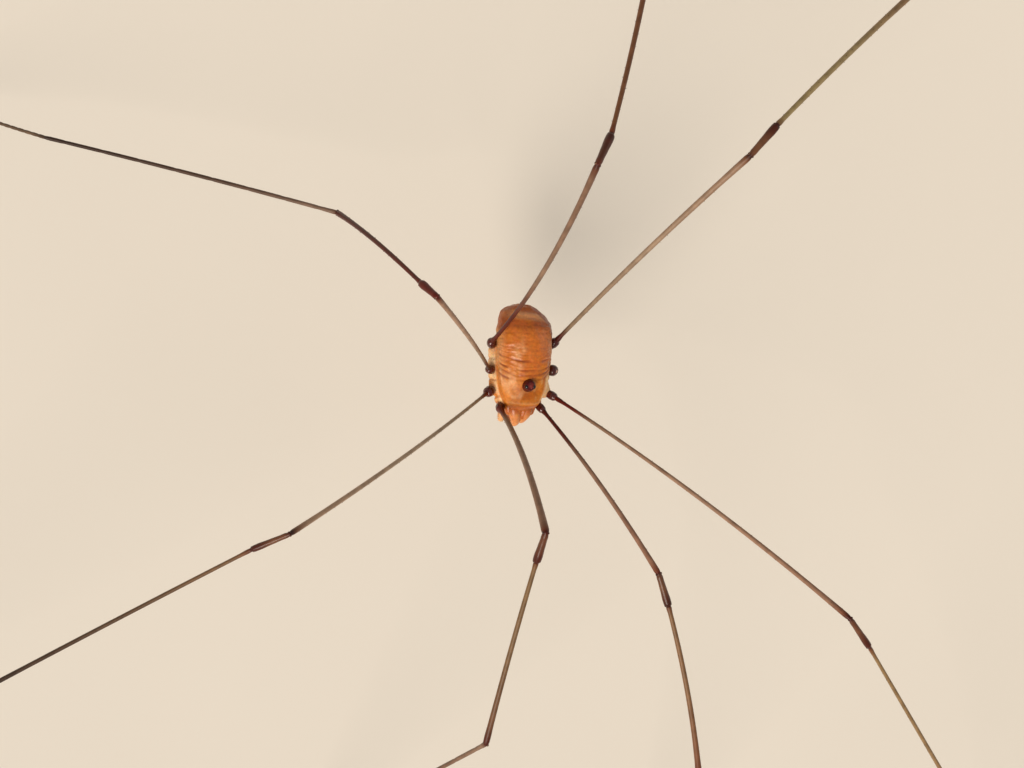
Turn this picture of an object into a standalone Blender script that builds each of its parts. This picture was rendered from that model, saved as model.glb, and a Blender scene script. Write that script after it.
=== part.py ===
"""A harvestman, life size: an orange oval body on seven long thread legs.

The head points to -Y, the animal's left is +X, and the floor is z = 0. The origin is on the
floor, under the middle of the model's box. Lengths are in millimetres and angles in degrees.
"""

import math

import bmesh
import bpy
from mathutils import Vector

MM = 0.001
LEFT, RIGHT = 1, -1
SIDE_NAMES = {LEFT: "left", RIGHT: "right"}

# Heights of the body and of its mouthparts are measured from the level of the hips.
HIP_HEIGHT = 9.0

# The body's outline from the front of the shield to the tail: place along the body, half width,
# top and bottom.
OUTLINE = (
    (-2.15, 0.36, 0.42, 0.02),
    (-2.06, 0.58, 0.60, -0.16),
    (-1.85, 0.86, 0.79, -0.30),
    (-1.55, 1.06, 0.93, -0.36),
    (-1.15, 1.21, 1.05, -0.40),
    (-0.66, 1.29, 1.17, -0.42),
    (0.20, 1.35, 1.36, -0.60),
    (1.10, 1.39, 1.38, -0.72),
    (1.80, 1.38, 1.24, -0.72),
    (2.25, 1.30, 1.05, -0.62),
    (2.62, 1.12, 0.82, -0.46),
    (2.90, 0.78, 0.58, -0.20),
    (3.06, 0.34, 0.36, 0.00),
)
BODY_SIDES = 28
# The height share at which a body ring is widest, and how much rounder than an oval it is.
WIDEST_SHARE = 0.52
ROUNDNESS = 0.92
# Where the shield meets the hind body, and how far back that seam runs as it goes down.
WAIST = -0.62
WAIST_LEAN = 0.62
LEAN_END = 2.1

# The clearance that neighbours keep, and the finer one round the eyes and under their mound.
GAP = 0.10
FINE_GAP = 0.04

# Folds between one back plate and the next.
FOLDS = (-0.22, 0.22, 0.68, 1.14, 1.62, 2.12)
FOLD_DEPTH = 0.014
FOLD_WIDTH = 0.07

# Places of the rings ahead of the waist, and of those behind the last fold.
SHIELD_PLACES = (-2.15, -2.10, -2.02, -1.92, -1.75, -1.55, -1.30, -1.05, -0.83)
TAIL_PLACES = (2.36, 2.55, 2.73, 2.88, 2.99, 3.06)
FIRST_PLATE = 0.22

# The genital lid, a long low ridge along the belly between the coxae.
LID_MIDDLE = (0.05, -0.62)
LID_RADII = (0.24, 1.35, 0.20)

# The mound that carries the eyes, as rings of (radius, height), and one eye in it.
MOUND_PLACE = (-0.84, 1.24)
MOUND_RINGS = ((0.32, -0.28), (0.275, -0.10), (0.25, 0.02), (0.235, 0.10), (0.185, 0.18), (0.10, 0.225))
MOUND_SIDES = 16
EYE_RADIUS = 0.115
EYE_PLACE = (0.165, -0.05, 0.09)

# Thickness of the limbs' pieces.
LEG_RADIUS = 0.255
TIP_RADIUS = 0.11
COXA_RADIUS = 0.34
HIND_COXA_SHARE = 1.1
TROCHANTER_RADIUS = 0.28
TROCHANTER_REACH = 0.24
LEG_SIDES = 8
ROUND_SIDES = 10

# Hips, one per leg pair: distance from the midline, and place along the body. The second pair
# is swung, one leg forwards and one back.
HIPS = {1: (1.06, -2.07), 2: (1.62, -1.36), 3: (1.62, -0.20), 4: (1.62, 1.12)}
HIP_SWING = {(LEFT, 2): -0.10, (RIGHT, 2): 0.10}

# Coxa roots beneath the body: distance from the midline, place along the body, and height.
COXA_ROOTS = {
    1: (0.54, -1.44, -0.60),
    2: (0.52, -0.86, -0.72),
    3: (0.52, -0.24, -0.75),
    4: (0.58, 0.42, -0.70),
}
COXA_SHAPE = ((0, 0.64), (0.10, 0.76), (0.5, 1.0), (0.78, 1.0), (0.93, 0.86), (1, 0.70))
TROCHANTER_SHAPE = (0.20, 0.27, TROCHANTER_RADIUS, 0.26, 0.21)

# Lengths of the leg segments in each pair.
SEGMENTS = ("femur", "patella", "tibia", "metatarsus", "tarsus")
LENGTHS = {
    1: (10.65, 1.70, 9.40, 11.40, 19.0),
    2: (18.85, 2.00, 18.00, 19.00, 34.0),
    3: (10.65, 1.35, 9.60, 14.50, 19.0),
    4: (14.65, 1.90, 13.00, 18.00, 24.0),
}

# The pose. A segment has its swing from straight ahead towards its own side, its rise above the
# horizon, and how far it bows upwards and away from its side's front. A tarsus has its swing, the
# slope at which it comes down to the floor, and how far it turns on the way to its tip.
POSES = {
    (LEFT, 1): ((29.9, 37.6, 0.50, 0.08), (20.6, -4.3, 0, 0), (15.9, -10, 0.35, 0.08),
                (10, -57, 0, 0), (11, 48, 14)),
    (LEFT, 2): ((50.8, 38.4, 0.60, 0.23), (40.7, -15.3, 0, 0), (41, -27, 0.20, -0.06),
                (30, -34, 0, 0), (29, 38, -16)),
    (LEFT, 4): ((145.6, 36.6, 0.25, 0.22), (140.2, 4.4, 0, 0), (126.5, -25, 0.15, 0.13),
                (141.9, -32, 0, 0), (144, 34, 12)),
    (RIGHT, 1): ((4.3, 63, 0.50, 0), (6.2, -28.5, 0, 0), (9.8, -12.8, 0.15, 0.10),
                 (34, -56, 0, 0), (36, 55, -18)),
    (RIGHT, 2): ((68.4, 43.5, 0.50, 0), (60.1, -32.7, 0, 0), (53, -36, 0.20, 0.09),
                 (68, -29, 0, 0), (70, 34, 14)),
    (RIGHT, 3): ((129.2, 52, 0.35, 0.01), (139.5, -57, 0, 0), (145.3, -69.4, 0.40, 0),
                 (103, -8, 0, 0.06), (106, 42, 10)),
    (RIGHT, 4): ((-170.8, 50.8, 0.75, 0.07), (-146, -30.2, 0, 0), (-158.4, -30, 0.35, 0),
                 (-161.9, -34, 0, 0), (-163, 36, 12)),
}
BARE_HIP = (LEFT, 3)
BARE_HIP_AIM = (76, 40)

# Thickness along each segment, as (share of its length, share of the leg's radius).
PROFILES = {
    "femur": ((0, 0.86), (0.05, 0.94), (0.3, 0.96), (0.6, 1.0), (0.86, 1.03), (0.945, 1.16), (1, 1.0)),
    "patella": ((0, 1.0), (0.32, 1.08), (0.7, 1.3), (1, 1.1)),
    "tibia": ((0, 0.98), (0.06, 1.0), (0.35, 0.97), (0.65, 1.0), (0.88, 1.12), (0.945, 1.2), (1, 1.0)),
    "metatarsus": ((0, 0.98), (0.06, 1.0), (0.35, 0.97), (0.7, 0.95), (0.95, 0.98), (1, 0.94)),
}
TARSUS_SHARE = 0.92
TARSUS_RINGS = 20
TARSUS_STEPS = 20

# Middle lines and radii of one jaw, its finger and one feeler-like palp: distance from the
# midline, place along the body, height.
JAW = ((0.26, -1.72, 0.02), (0.26, -2.05, 0.08), (0.25, -2.50, 0.04), (0.25, -2.80, -0.20),
       (0.25, -2.84, -0.56), (0.24, -2.76, -0.92), (0.22, -2.62, -1.20), (0.20, -2.50, -1.38))
JAW_RADII = (0.16, 0.19, 0.21, 0.21, 0.20, 0.185, 0.12, 0.06)
FINGER = ((0.25, -2.78, -0.80), (0.26, -2.94, -1.05), (0.23, -2.78, -1.34))
FINGER_RADII = (0.11, 0.09, 0.045)
JAW_REACH = {LEFT: 0.74, RIGHT: 1.0}
PALP = ((0.70, -1.85, -0.36), (0.75, -2.15, -0.46), (0.75, -2.46, -0.56), (0.72, -2.68, -0.80),
        (0.66, -2.68, -1.12), (0.58, -2.50, -1.38), (0.50, -2.15, -1.50), (0.44, -1.80, -1.46))
PALP_RADII = (0.17, 0.21, 0.225, 0.22, 0.21, 0.195, 0.16, 0.10)
PALP_REACH = {LEFT: 0.55, RIGHT: 1.0}

# Colours are linear, with their alpha.
FINISHES = {
    "prosoma": ("orange_shield", (0.72, 0.33, 0.09, 1), 0.5),
    "opisthosoma": ("orange_belly", (0.62, 0.24, 0.06, 1), 0.5),
    "ocularium": ("dark_eye_mound", (0.07, 0.015, 0.02, 1), 0.35),
    "eye": ("black_eye", (0.012, 0.006, 0.008, 1), 0.12),
    "chelicera": ("pale_jaw", (0.75, 0.38, 0.14, 1), 0.45),
    "pedipalp": ("pale_palp", (0.70, 0.45, 0.25, 1), 0.5),
    "coxa": ("cream_coxa", (0.80, 0.56, 0.34, 1), 0.5),
    "trochanter": ("maroon_trochanter", (0.09, 0.02, 0.015, 1), 0.3),
    "femur": ("olive_brown_femur", (0.33, 0.22, 0.14, 1), 0.45),
    "patella": ("dark_knee", (0.12, 0.05, 0.035, 1), 0.35),
    "tibia": ("brown_tibia", (0.29, 0.18, 0.11, 1), 0.45),
    "metatarsus": ("brown_metatarsus", (0.22, 0.15, 0.10, 1), 0.5),
    "tarsus": ("brown_tarsus", (0.20, 0.14, 0.09, 1), 0.55),
    "cutter": ("cutter", (1, 0, 0, 1), 0.5),
}


def make_finish(kind):
    name, colour, roughness = FINISHES[kind]
    made = bpy.data.materials.new(name)
    made.use_nodes = True
    shader = made.node_tree.nodes["Principled BSDF"]
    shader.inputs["Base Color"].default_value = colour
    shader.inputs["Roughness"].default_value = roughness
    shader.inputs["Metallic"].default_value = 0.0
    return made


def finish(kind):
    """The material of one kind of piece, made when it is first asked for."""
    return bpy.data.materials.get(FINISHES[kind][0]) or make_finish(kind)


def aim(side, swing, rise):
    """The unit vector with this swing from straight ahead and this rise above the horizon."""
    a, b = math.radians(swing), math.radians(rise)
    return Vector((side * math.sin(a) * math.cos(b), -math.cos(a) * math.cos(b), math.sin(b)))


def smooth(data):
    data.shade_smooth()
    data.set_sharp_from_angle(angle=math.radians(50))


def loft(name, rings, kind, origin):
    """A closed object through rings of points about its origin, with its two ends capped."""
    mesh = bmesh.new()
    loops = [[mesh.verts.new((point - origin) * MM) for point in ring] for ring in rings]
    for ring, after in zip(loops, loops[1:]):
        for k in range(len(ring)):
            n = (k + 1) % len(ring)
            mesh.faces.new((ring[k], ring[n], after[n], after[k]))
    mesh.faces.new(list(reversed(loops[0])))
    mesh.faces.new(loops[-1])
    bmesh.ops.recalc_face_normals(mesh, faces=mesh.faces)
    return stand(name, mesh, kind, origin)


def ball(name, centre, radii, kind, around=16, rows=10):
    """A closed ball, stretched along the axes."""
    mesh = bmesh.new()
    bmesh.ops.create_uvsphere(mesh, u_segments=around, v_segments=rows, radius=MM)
    bmesh.ops.scale(mesh, vec=radii, verts=mesh.verts)
    return stand(name, mesh, kind, centre)


def stand(name, mesh, kind, origin):
    """Turns a bmesh into a named object at its origin, under the animal's own empty."""
    data = bpy.data.meshes.new(name)
    mesh.to_mesh(data)
    mesh.free()
    data.materials.append(finish(kind))
    smooth(data)
    made = bpy.data.objects.new(name, data)
    bpy.context.scene.collection.objects.link(made)
    made.location = origin * MM
    made.parent = bpy.data.objects["harvestman"]
    return made


def circle(centre, forward, radius, sides, across=None):
    """A ring of points across the way forward, with a flat side underneath."""
    across = across or Vector((0, 0, 1)).cross(forward).normalized()
    above = forward.cross(across)
    ring = []
    for k in range(sides):
        turn = 2 * math.pi * (k + 0.5) / sides - math.pi / 2
        ring.append(centre + (across * math.cos(turn) + above * math.sin(turn)) * radius)
    return ring


def carried(ways, across):
    """The across direction at each point of a bent path, carried along so that nothing twists."""
    found = []
    for way in ways:
        across = (across - way * across.dot(way)).normalized()
        found.append(across)
    return found


def tangents(points):
    """The way forward at each point of a path."""
    found = []
    for k in range(len(points)):
        before, after = points[max(k - 1, 0)], points[min(k + 1, len(points) - 1)]
        found.append((after - before).normalized())
    return found


def bent_tube(name, points, radii, sides, kind, grow=0.0):
    """A tube through a few points, thick or thin as its radii say, grown on every side."""
    ways = tangents(points)
    turns = carried(ways, Vector((1, 0, 0)))
    rings = [circle(p, w, r + grow, sides, a) for p, w, r, a in zip(points, ways, radii, turns)]
    rings[0] = [p - ways[0] * grow for p in rings[0]]
    rings[-1] = [p + ways[-1] * grow for p in rings[-1]]
    return loft(name, rings, kind, points[0])


def surfaces_of(mesh):
    """The separate closed surfaces of a bmesh, each as a set of faces, smallest first."""
    left, surfaces = set(mesh.faces), []
    while left:
        surface, edge = set(), [left.pop()]
        while edge:
            face = edge.pop()
            surface.add(face)
            near = {other for line in face.edges for other in line.link_faces} & left
            left -= near
            edge.extend(near)
        surfaces.append(surface)
    return sorted(surfaces, key=lambda surface: sum(face.calc_area() for face in surface))


def apply_modifiers(made):
    """Replaces an object's mesh by its evaluated one and keeps only the largest closed surface."""
    graph = bpy.context.evaluated_depsgraph_get()
    data = bpy.data.meshes.new_from_object(made.evaluated_get(graph))
    made.modifiers.clear()
    mesh = bmesh.new()
    mesh.from_mesh(data)
    bmesh.ops.remove_doubles(mesh, verts=mesh.verts, dist=2e-7)
    bmesh.ops.dissolve_degenerate(mesh, edges=mesh.edges, dist=2e-7)
    scraps = [face for surface in surfaces_of(mesh)[:-1] for face in surface]
    bmesh.ops.delete(mesh, geom=scraps, context="FACES")
    bmesh.ops.triangulate(mesh, faces=mesh.faces)
    mesh.to_mesh(data)
    mesh.free()
    smooth(data)
    made.data = data


def combine(made, others, operation):
    """Cuts the other closed objects from this one, or joins them to it, and removes them."""
    bpy.context.view_layer.update()
    for other in others:
        other.hide_render = True
        other.display_type = "WIRE"
        boolean = made.modifiers.new(operation.title(), "BOOLEAN")
        boolean.operation = operation
        boolean.solver = "EXACT"
        boolean.object = other
    apply_modifiers(made)
    for other in others:
        bpy.data.objects.remove(other)


def outline_at(along):
    """Half width, top and bottom of the body at a place along it, on a smooth curve."""
    k = 0
    while k < len(OUTLINE) - 2 and OUTLINE[k + 1][0] < along:
        k += 1
    before, here = OUTLINE[max(k - 1, 0)], OUTLINE[k]
    there, after = OUTLINE[k + 1], OUTLINE[min(k + 2, len(OUTLINE) - 1)]
    span = there[0] - here[0]
    f = (along - here[0]) / span
    values = []
    for i in (1, 2, 3):
        slope_here = span * (there[i] - before[i]) / (there[0] - before[0])
        slope_there = span * (after[i] - here[i]) / (after[0] - here[0])
        value = (2 * f**3 - 3 * f**2 + 1) * here[i] + (3 * f**2 - 2 * f**3) * there[i]
        values.append(value + (f**3 - 2 * f**2 + f) * slope_here + (f**3 - f**2) * slope_there)
    return values


def lean_at(along):
    """How far a ring leans back as it goes down: most at the waist, none at the two ends."""
    front = OUTLINE[0][0]
    if along < WAIST:
        return WAIST_LEAN * (along - front) / (WAIST - front)
    return WAIST_LEAN * max(0.0, 1 - (along - WAIST) / (LEAN_END - WAIST))


def body_ring(along, fold=0.0, grow=0.0):
    """One ring of the body, fuller above its widest level than below, pinched in by a fold."""
    half_width, top, bottom = [size * (1 - fold) for size in outline_at(along)]
    widest = bottom + (top - bottom) * WIDEST_SHARE
    ring = []
    for k in range(BODY_SIDES):
        turn = 2 * math.pi * (k + 0.5) / BODY_SIDES
        x = (half_width + grow) * math.copysign(abs(math.sin(turn)) ** ROUNDNESS, math.sin(turn))
        reach = (top - widest if math.cos(turn) > 0 else widest - bottom) + grow
        z = widest + reach * math.cos(turn)
        ring.append(Vector((x, along + lean_at(along) * (top - z), z + HIP_HEIGHT)))
    return ring


def shield_places():
    return SHIELD_PLACES + (WAIST - GAP / 2,)


def belly_places():
    """Places of the hind body's rings, each with its depth of fold."""
    places = [(WAIST + GAP / 2, 0.0), (WAIST + FIRST_PLATE, 0.0)]
    for fold in FOLDS:
        places += [(fold - FOLD_WIDTH, 0.0), (fold, FOLD_DEPTH), (fold + FOLD_WIDTH, 0.0)]
    return places + [(place, 0.0) for place in TAIL_PLACES]


def grown_body(name):
    """The whole body as one closed shape, grown by the clearance: what its neighbours are cut by."""
    places = list(shield_places()) + [place for place, _ in belly_places()]
    rings = [body_ring(place, 0.0, GAP) for place in places]
    rings[0] = [point + Vector((0, -GAP, 0)) for point in rings[0]]
    rings[-1] = [point + Vector((0, GAP, 0)) for point in rings[-1]]
    return loft(name, rings, "cutter", Vector((0, 0, HIP_HEIGHT)))


def hip(side, pair):
    x, y = HIPS[pair]
    return Vector((side * x, y + HIP_SWING.get((side, pair), 0.0), HIP_HEIGHT))


def coxa_line(side, pair):
    """Where a coxa starts beneath the body, where it ends, and the way it runs."""
    x, y, z = COXA_ROOTS[pair]
    start = Vector((side * x, y, z + HIP_HEIGHT))
    forward = (hip(side, pair) - start).normalized()
    return start, hip(side, pair) - forward * TROCHANTER_RADIUS, forward


def coxa(name, side, pair, kind="coxa", grow=0.0):
    """The thick first piece of a leg, which lies against the belly and can't be moved."""
    start, end, forward = coxa_line(side, pair)
    thickest = COXA_RADIUS * (HIND_COXA_SHARE if pair == 4 else 1.0)
    rings = []
    for share, wide in COXA_SHAPE:
        rings.append(circle(start.lerp(end, share), forward, thickest * wide + grow, ROUND_SIDES))
    rings[0] = [point - forward * grow for point in rings[0]]
    rings[-1] = [point + forward * grow for point in rings[-1]]
    return loft(name, rings, kind, start)


def leg_joints(side, pair):
    """The hip, knee and further joints of one leg, with the bow of each segment as a vector."""
    joints = [hip(side, pair)]
    bows = []
    for length, (swing, rise, up, away) in zip(LENGTHS[pair], POSES[(side, pair)][:4]):
        joints.append(joints[-1] + aim(side, swing, rise) * length)
        bows.append(aim(side, swing, rise + 90) * up + aim(side, swing + 90, 0) * away)
    return joints, bows


def arc_ends(start, end, bow):
    """The way forward at the start and at the end of a shallow curve that bows at its middle."""
    return (end - start + bow * 4).normalized(), (end - start - bow * 4).normalized()


def hip_way(side, pair):
    """The way a trochanter points, out of the body."""
    if (side, pair) == BARE_HIP:
        return aim(side, *BARE_HIP_AIM)
    joints, bows = leg_joints(side, pair)
    return arc_ends(joints[0], joints[1], bows[0])[0]


def trochanter(name, side, pair):
    """The short dark joint piece between coxa and femur, which turns from one to the other."""
    _, end, forward_in = coxa_line(side, pair)
    forward_out = hip_way(side, pair)
    centre = hip(side, pair)
    inner = end + forward_in * GAP
    outer = centre + forward_out * TROCHANTER_REACH
    points = (inner, inner.lerp(centre, 0.5), centre, centre.lerp(outer, 0.6), outer)
    middle = (forward_in + forward_out).normalized()
    ways = (forward_in, forward_in, middle, forward_out, forward_out)
    turns = carried(ways, Vector((0, 0, 1)).cross(forward_in))
    rings = []
    for point, way, radius, across in zip(points, ways, TROCHANTER_SHAPE, turns):
        rings.append(circle(point, way, radius, ROUND_SIDES, across))
    loft(name, rings, "trochanter", centre)


def mitre(ring, forward, joint, normal):
    """Slides a ring's points along the segment to the plane that the joint's two faces share."""
    return [p - forward * ((GAP / 2 + (p - joint).dot(normal)) / forward.dot(normal)) for p in ring]


def leg_segment(name, segment, start, end, bow, planes):
    """One bowed segment of a leg. Each plane is a joint and the normal that its end face takes."""
    shares = [share for share, _ in PROFILES[segment]]
    points = [start.lerp(end, f) + bow * (4 * f * (1 - f)) for f in shares]
    ways = tangents(points)
    ways[0], ways[-1] = arc_ends(start, end, bow)
    rings = []
    for point, way, (_, wide) in zip(points, ways, PROFILES[segment]):
        rings.append(circle(point, way, LEG_RADIUS * wide, LEG_SIDES))
    for end_ring, plane in zip((0, -1), planes):
        if plane:
            rings[end_ring] = mitre(rings[end_ring], ways[end_ring], *plane)
    loft(name, rings, segment, start)


def tarsus_path(side, start, length, pose):
    """Points and radii of the last segment, which comes down on an arc and then lies on the floor."""
    swing, slope, turn = pose
    thick = LEG_RADIUS * TARSUS_SHARE
    radii = [thick + (TIP_RADIUS - thick) * k / TARSUS_RINGS for k in range(TARSUS_RINGS + 1)]
    flat = math.cos(math.pi / LEG_SIDES)
    landing_height = radii[TARSUS_RINGS // 2] * flat
    bend = (start.z - landing_height) / (1 - math.cos(math.radians(slope)))
    landing = bend * math.radians(slope)
    step = length / (TARSUS_RINGS * TARSUS_STEPS)
    points, here = [start.copy()], start.copy()
    for k in range(TARSUS_RINGS * TARSUS_STEPS):
        run = (k + 0.5) * step
        here += aim(side, swing + turn * run / length, -slope * max(0.0, 1 - run / landing)) * step
        if (k + 1) % TARSUS_STEPS == 0:
            points.append(here.copy())
    for k in range(1, TARSUS_RINGS + 1):
        run = k * length / TARSUS_RINGS
        if run >= landing:
            points[k].z = radii[k] * flat
    return points, radii, landing


def tarsus(name, side, start, length, pose, normal):
    """The thin last segment, bent down to the floor and then laid along it to its tip."""
    points, radii, landing = tarsus_path(side, start, length, pose)
    ways = tangents(points)
    ways[0] = aim(side, pose[0], -pose[1])
    rings = []
    for k, (point, way, radius) in enumerate(zip(points, ways, radii)):
        if k * length / TARSUS_RINGS >= landing:
            way = Vector((way.x, way.y, 0)).normalized()
        rings.append(circle(point, way, radius, LEG_SIDES))
    rings[0] = mitre(rings[0], ways[0], start, normal)
    loft(name, rings, "tarsus", start)


def leg(side, pair):
    """The five movable segments of one leg, each meeting the next at a mitred face."""
    tag = f"{SIDE_NAMES[side]}_{pair}"
    joints, bows = leg_joints(side, pair)
    foot = POSES[(side, pair)][4]
    ends = [arc_ends(joints[k], joints[k + 1], bows[k]) for k in range(4)]
    ends.append((aim(side, foot[0], -foot[1]),))
    normals = [(ends[k][1] + ends[k + 1][0]).normalized() for k in range(4)]
    for k, segment in enumerate(SEGMENTS[:4]):
        start = joints[k]
        near = (start, -normals[k - 1])
        if segment == "femur":
            start = start + ends[0][0] * (TROCHANTER_REACH + GAP)
            near = None
        leg_segment(f"{segment}_{tag}", segment, start, joints[k + 1], bows[k],
                    (near, (joints[k + 1], normals[k])))
    tarsus(f"tarsus_{tag}", side, joints[4], LENGTHS[pair][4], foot, -normals[3])


def leg_root(tag, side, pair):
    """Cutters round one coxa and its trochanter."""
    around = TROCHANTER_RADIUS + GAP
    return [
        coxa(f"cut_coxa_{tag}_{side}_{pair}", side, pair, "cutter", GAP),
        ball(f"cut_hip_{tag}_{side}_{pair}", hip(side, pair), [around] * 3, "cutter"),
    ]


def leg_roots(tag):
    """Cutters round all eight coxae and trochanters."""
    return [cutter for side in (LEFT, RIGHT) for pair in HIPS for cutter in leg_root(tag, side, pair)]


def prosoma():
    """The front half of the body, under one smooth shield."""
    rings = [body_ring(place) for place in shield_places()]
    shield = loft("prosoma", rings, "prosoma", Vector((0, -1.3, HIP_HEIGHT)))
    combine(shield, leg_roots("front"), "DIFFERENCE")


def opisthosoma():
    """The hind half of the body, with its back plates, and the genital lid along the belly."""
    middle = Vector((0, 1.0, HIP_HEIGHT))
    belly = loft("opisthosoma", [body_ring(*place) for place in belly_places()], "opisthosoma", middle)
    along, height = LID_MIDDLE
    lid = ball("lid", Vector((0, along, height + HIP_HEIGHT)), LID_RADII, "opisthosoma", 14, 8)
    rings = [body_ring(place, 0.0, GAP) for place in shield_places()]
    combine(lid, [loft("shield_over_lid", rings, "cutter", middle)], "DIFFERENCE")
    combine(belly, [lid], "UNION")
    combine(belly, leg_roots("rear"), "DIFFERENCE")


def eye_mound():
    """The dark mound on the back, with one eye let into each side of it."""
    along, height = MOUND_PLACE
    middle = Vector((0, along, height + HIP_HEIGHT))
    up, across = Vector((0, 0, 1)), Vector((1, 0, 0))
    rings = [circle(middle + up * z, up, radius, MOUND_SIDES, across) for radius, z in MOUND_RINGS]
    mound = loft("ocularium", rings, "ocularium", middle)
    sockets = []
    for side in (LEFT, RIGHT):
        centre = middle + Vector((side * EYE_PLACE[0], EYE_PLACE[1], EYE_PLACE[2]))
        ball(f"eye_{SIDE_NAMES[side]}", centre, [EYE_RADIUS] * 3, "eye", 12, 8)
        sockets.append(ball(f"socket_{side}", centre, [EYE_RADIUS + FINE_GAP] * 3, "cutter", 12, 8))
    combine(mound, sockets, "DIFFERENCE")
    rings = [body_ring(place, 0.0, FINE_GAP) for place in shield_places() + (WAIST + FIRST_PLATE,)]
    combine(mound, [loft("body_under_mound", rings, "cutter", middle)], "DIFFERENCE")


def limb_points(side, path, reach=1.0):
    """A path at one side of the midline, drawn in towards its first point by a share."""
    first = path[0][1]
    return [Vector((side * x, first + (y - first) * reach, z + HIP_HEIGHT)) for x, y, z in path]


def mouthparts(side):
    """One jaw with its finger, and the palp beside it. The left pair is drawn in."""
    reach = JAW_REACH[side]
    jaw_points = limb_points(side, JAW, reach)
    jaw = bent_tube(f"chelicera_{SIDE_NAMES[side]}", jaw_points, JAW_RADII, ROUND_SIDES, "chelicera")
    finger_points = limb_points(side, FINGER)
    draw_in = Vector((0, (JAW[0][1] - FINGER[0][1]) * (1 - reach), 0))
    finger_points = [point + draw_in for point in finger_points]
    finger = bent_tube("finger", finger_points, FINGER_RADII, LEG_SIDES, "chelicera")
    combine(jaw, [finger], "UNION")
    combine(jaw, [grown_body(f"body_for_jaw_{side}")], "DIFFERENCE")
    palp_points = limb_points(side, PALP, PALP_REACH[side])
    palp = bent_tube(f"pedipalp_{SIDE_NAMES[side]}", palp_points, PALP_RADII, ROUND_SIDES, "pedipalp")
    near = [
        grown_body(f"body_for_palp_{side}"),
        *leg_root("palp", side, 1),
        bent_tube(f"jaw_for_palp_{side}", jaw_points, JAW_RADII, ROUND_SIDES, "cutter", GAP),
    ]
    combine(palp, near, "DIFFERENCE")


def centre_on_floor(animal):
    """Moves the animal so that the origin is on the floor, under the middle of its box."""
    bpy.context.view_layer.update()
    corners = []
    for made in bpy.context.scene.objects:
        if made.type == "MESH":
            corners += [made.matrix_world @ vertex.co for vertex in made.data.vertices]
    middle_x = (min(c.x for c in corners) + max(c.x for c in corners)) / 2
    middle_y = (min(c.y for c in corners) + max(c.y for c in corners)) / 2
    animal.location = (-middle_x, -middle_y, -min(c.z for c in corners))


def build():
    for old in list(bpy.data.objects):
        bpy.data.objects.remove(old)
    animal = bpy.data.objects.new("harvestman", None)
    bpy.context.scene.collection.objects.link(animal)
    prosoma()
    opisthosoma()
    eye_mound()
    for side in (LEFT, RIGHT):
        mouthparts(side)
        for pair in HIPS:
            tag = f"{SIDE_NAMES[side]}_{pair}"
            coxa(f"coxa_{tag}", side, pair)
            trochanter(f"trochanter_{tag}", side, pair)
            if (side, pair) != BARE_HIP:
                leg(side, pair)
    centre_on_floor(animal)


build()
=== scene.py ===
# %% [markdown]
# # Dressing a harvestman
#
# A harvestman is a small oval body hung between long thread legs. The solids loaded below hold its
# size, its stance and the place of every joint, but they are plain, and their legs are thicker than
# life so that they hold together.
#
# One way would be to paint those solids as they are. Here every piece is drawn again inside them,
# on the same centre lines, because the animal is known by its thin legs and its wrinkled soft back.

# %% The frame
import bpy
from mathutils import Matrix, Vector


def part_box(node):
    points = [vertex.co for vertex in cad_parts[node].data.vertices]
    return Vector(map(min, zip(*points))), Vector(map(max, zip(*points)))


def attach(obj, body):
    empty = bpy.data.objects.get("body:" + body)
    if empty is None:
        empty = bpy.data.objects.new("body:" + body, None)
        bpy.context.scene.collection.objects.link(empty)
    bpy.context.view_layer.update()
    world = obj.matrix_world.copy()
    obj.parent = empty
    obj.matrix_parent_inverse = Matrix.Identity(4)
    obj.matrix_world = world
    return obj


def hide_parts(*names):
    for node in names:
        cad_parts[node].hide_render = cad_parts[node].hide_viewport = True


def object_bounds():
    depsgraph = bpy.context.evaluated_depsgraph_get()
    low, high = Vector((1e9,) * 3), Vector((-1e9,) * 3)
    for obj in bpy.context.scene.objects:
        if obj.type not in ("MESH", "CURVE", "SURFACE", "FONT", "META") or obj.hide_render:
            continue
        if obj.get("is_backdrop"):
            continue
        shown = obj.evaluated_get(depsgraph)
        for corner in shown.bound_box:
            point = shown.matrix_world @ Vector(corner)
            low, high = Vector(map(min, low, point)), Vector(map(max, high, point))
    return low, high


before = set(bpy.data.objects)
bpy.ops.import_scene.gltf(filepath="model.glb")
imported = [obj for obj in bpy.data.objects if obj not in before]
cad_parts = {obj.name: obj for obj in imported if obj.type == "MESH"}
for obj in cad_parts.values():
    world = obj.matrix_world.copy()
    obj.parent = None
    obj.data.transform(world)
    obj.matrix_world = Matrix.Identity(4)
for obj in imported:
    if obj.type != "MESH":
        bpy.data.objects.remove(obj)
cad_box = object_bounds()
print("solids to dress:", len(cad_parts))

# %% What the lesson needs
import math

import bpy
import numpy as np
from mathutils import Quaternion, Vector, noise

LEFT, RIGHT = 1, -1
SIDE_NAMES = {LEFT: "left", RIGHT: "right"}
UP = Vector((0, 0, 1))
MM = 0.001

# %% [markdown]
# ## A bench in millimetres
#
# The whole body is 6 mm long. Remeshing and merging have least distances that suit large things, so
# every piece is shaped on a bench where one unit is a millimetre and the origin lies between the
# hips. When a piece is done it is shrunk to life size and set into the frame.
#
# The eyes are whole balls in the solids, so the point between them says where the body stands.

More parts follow.
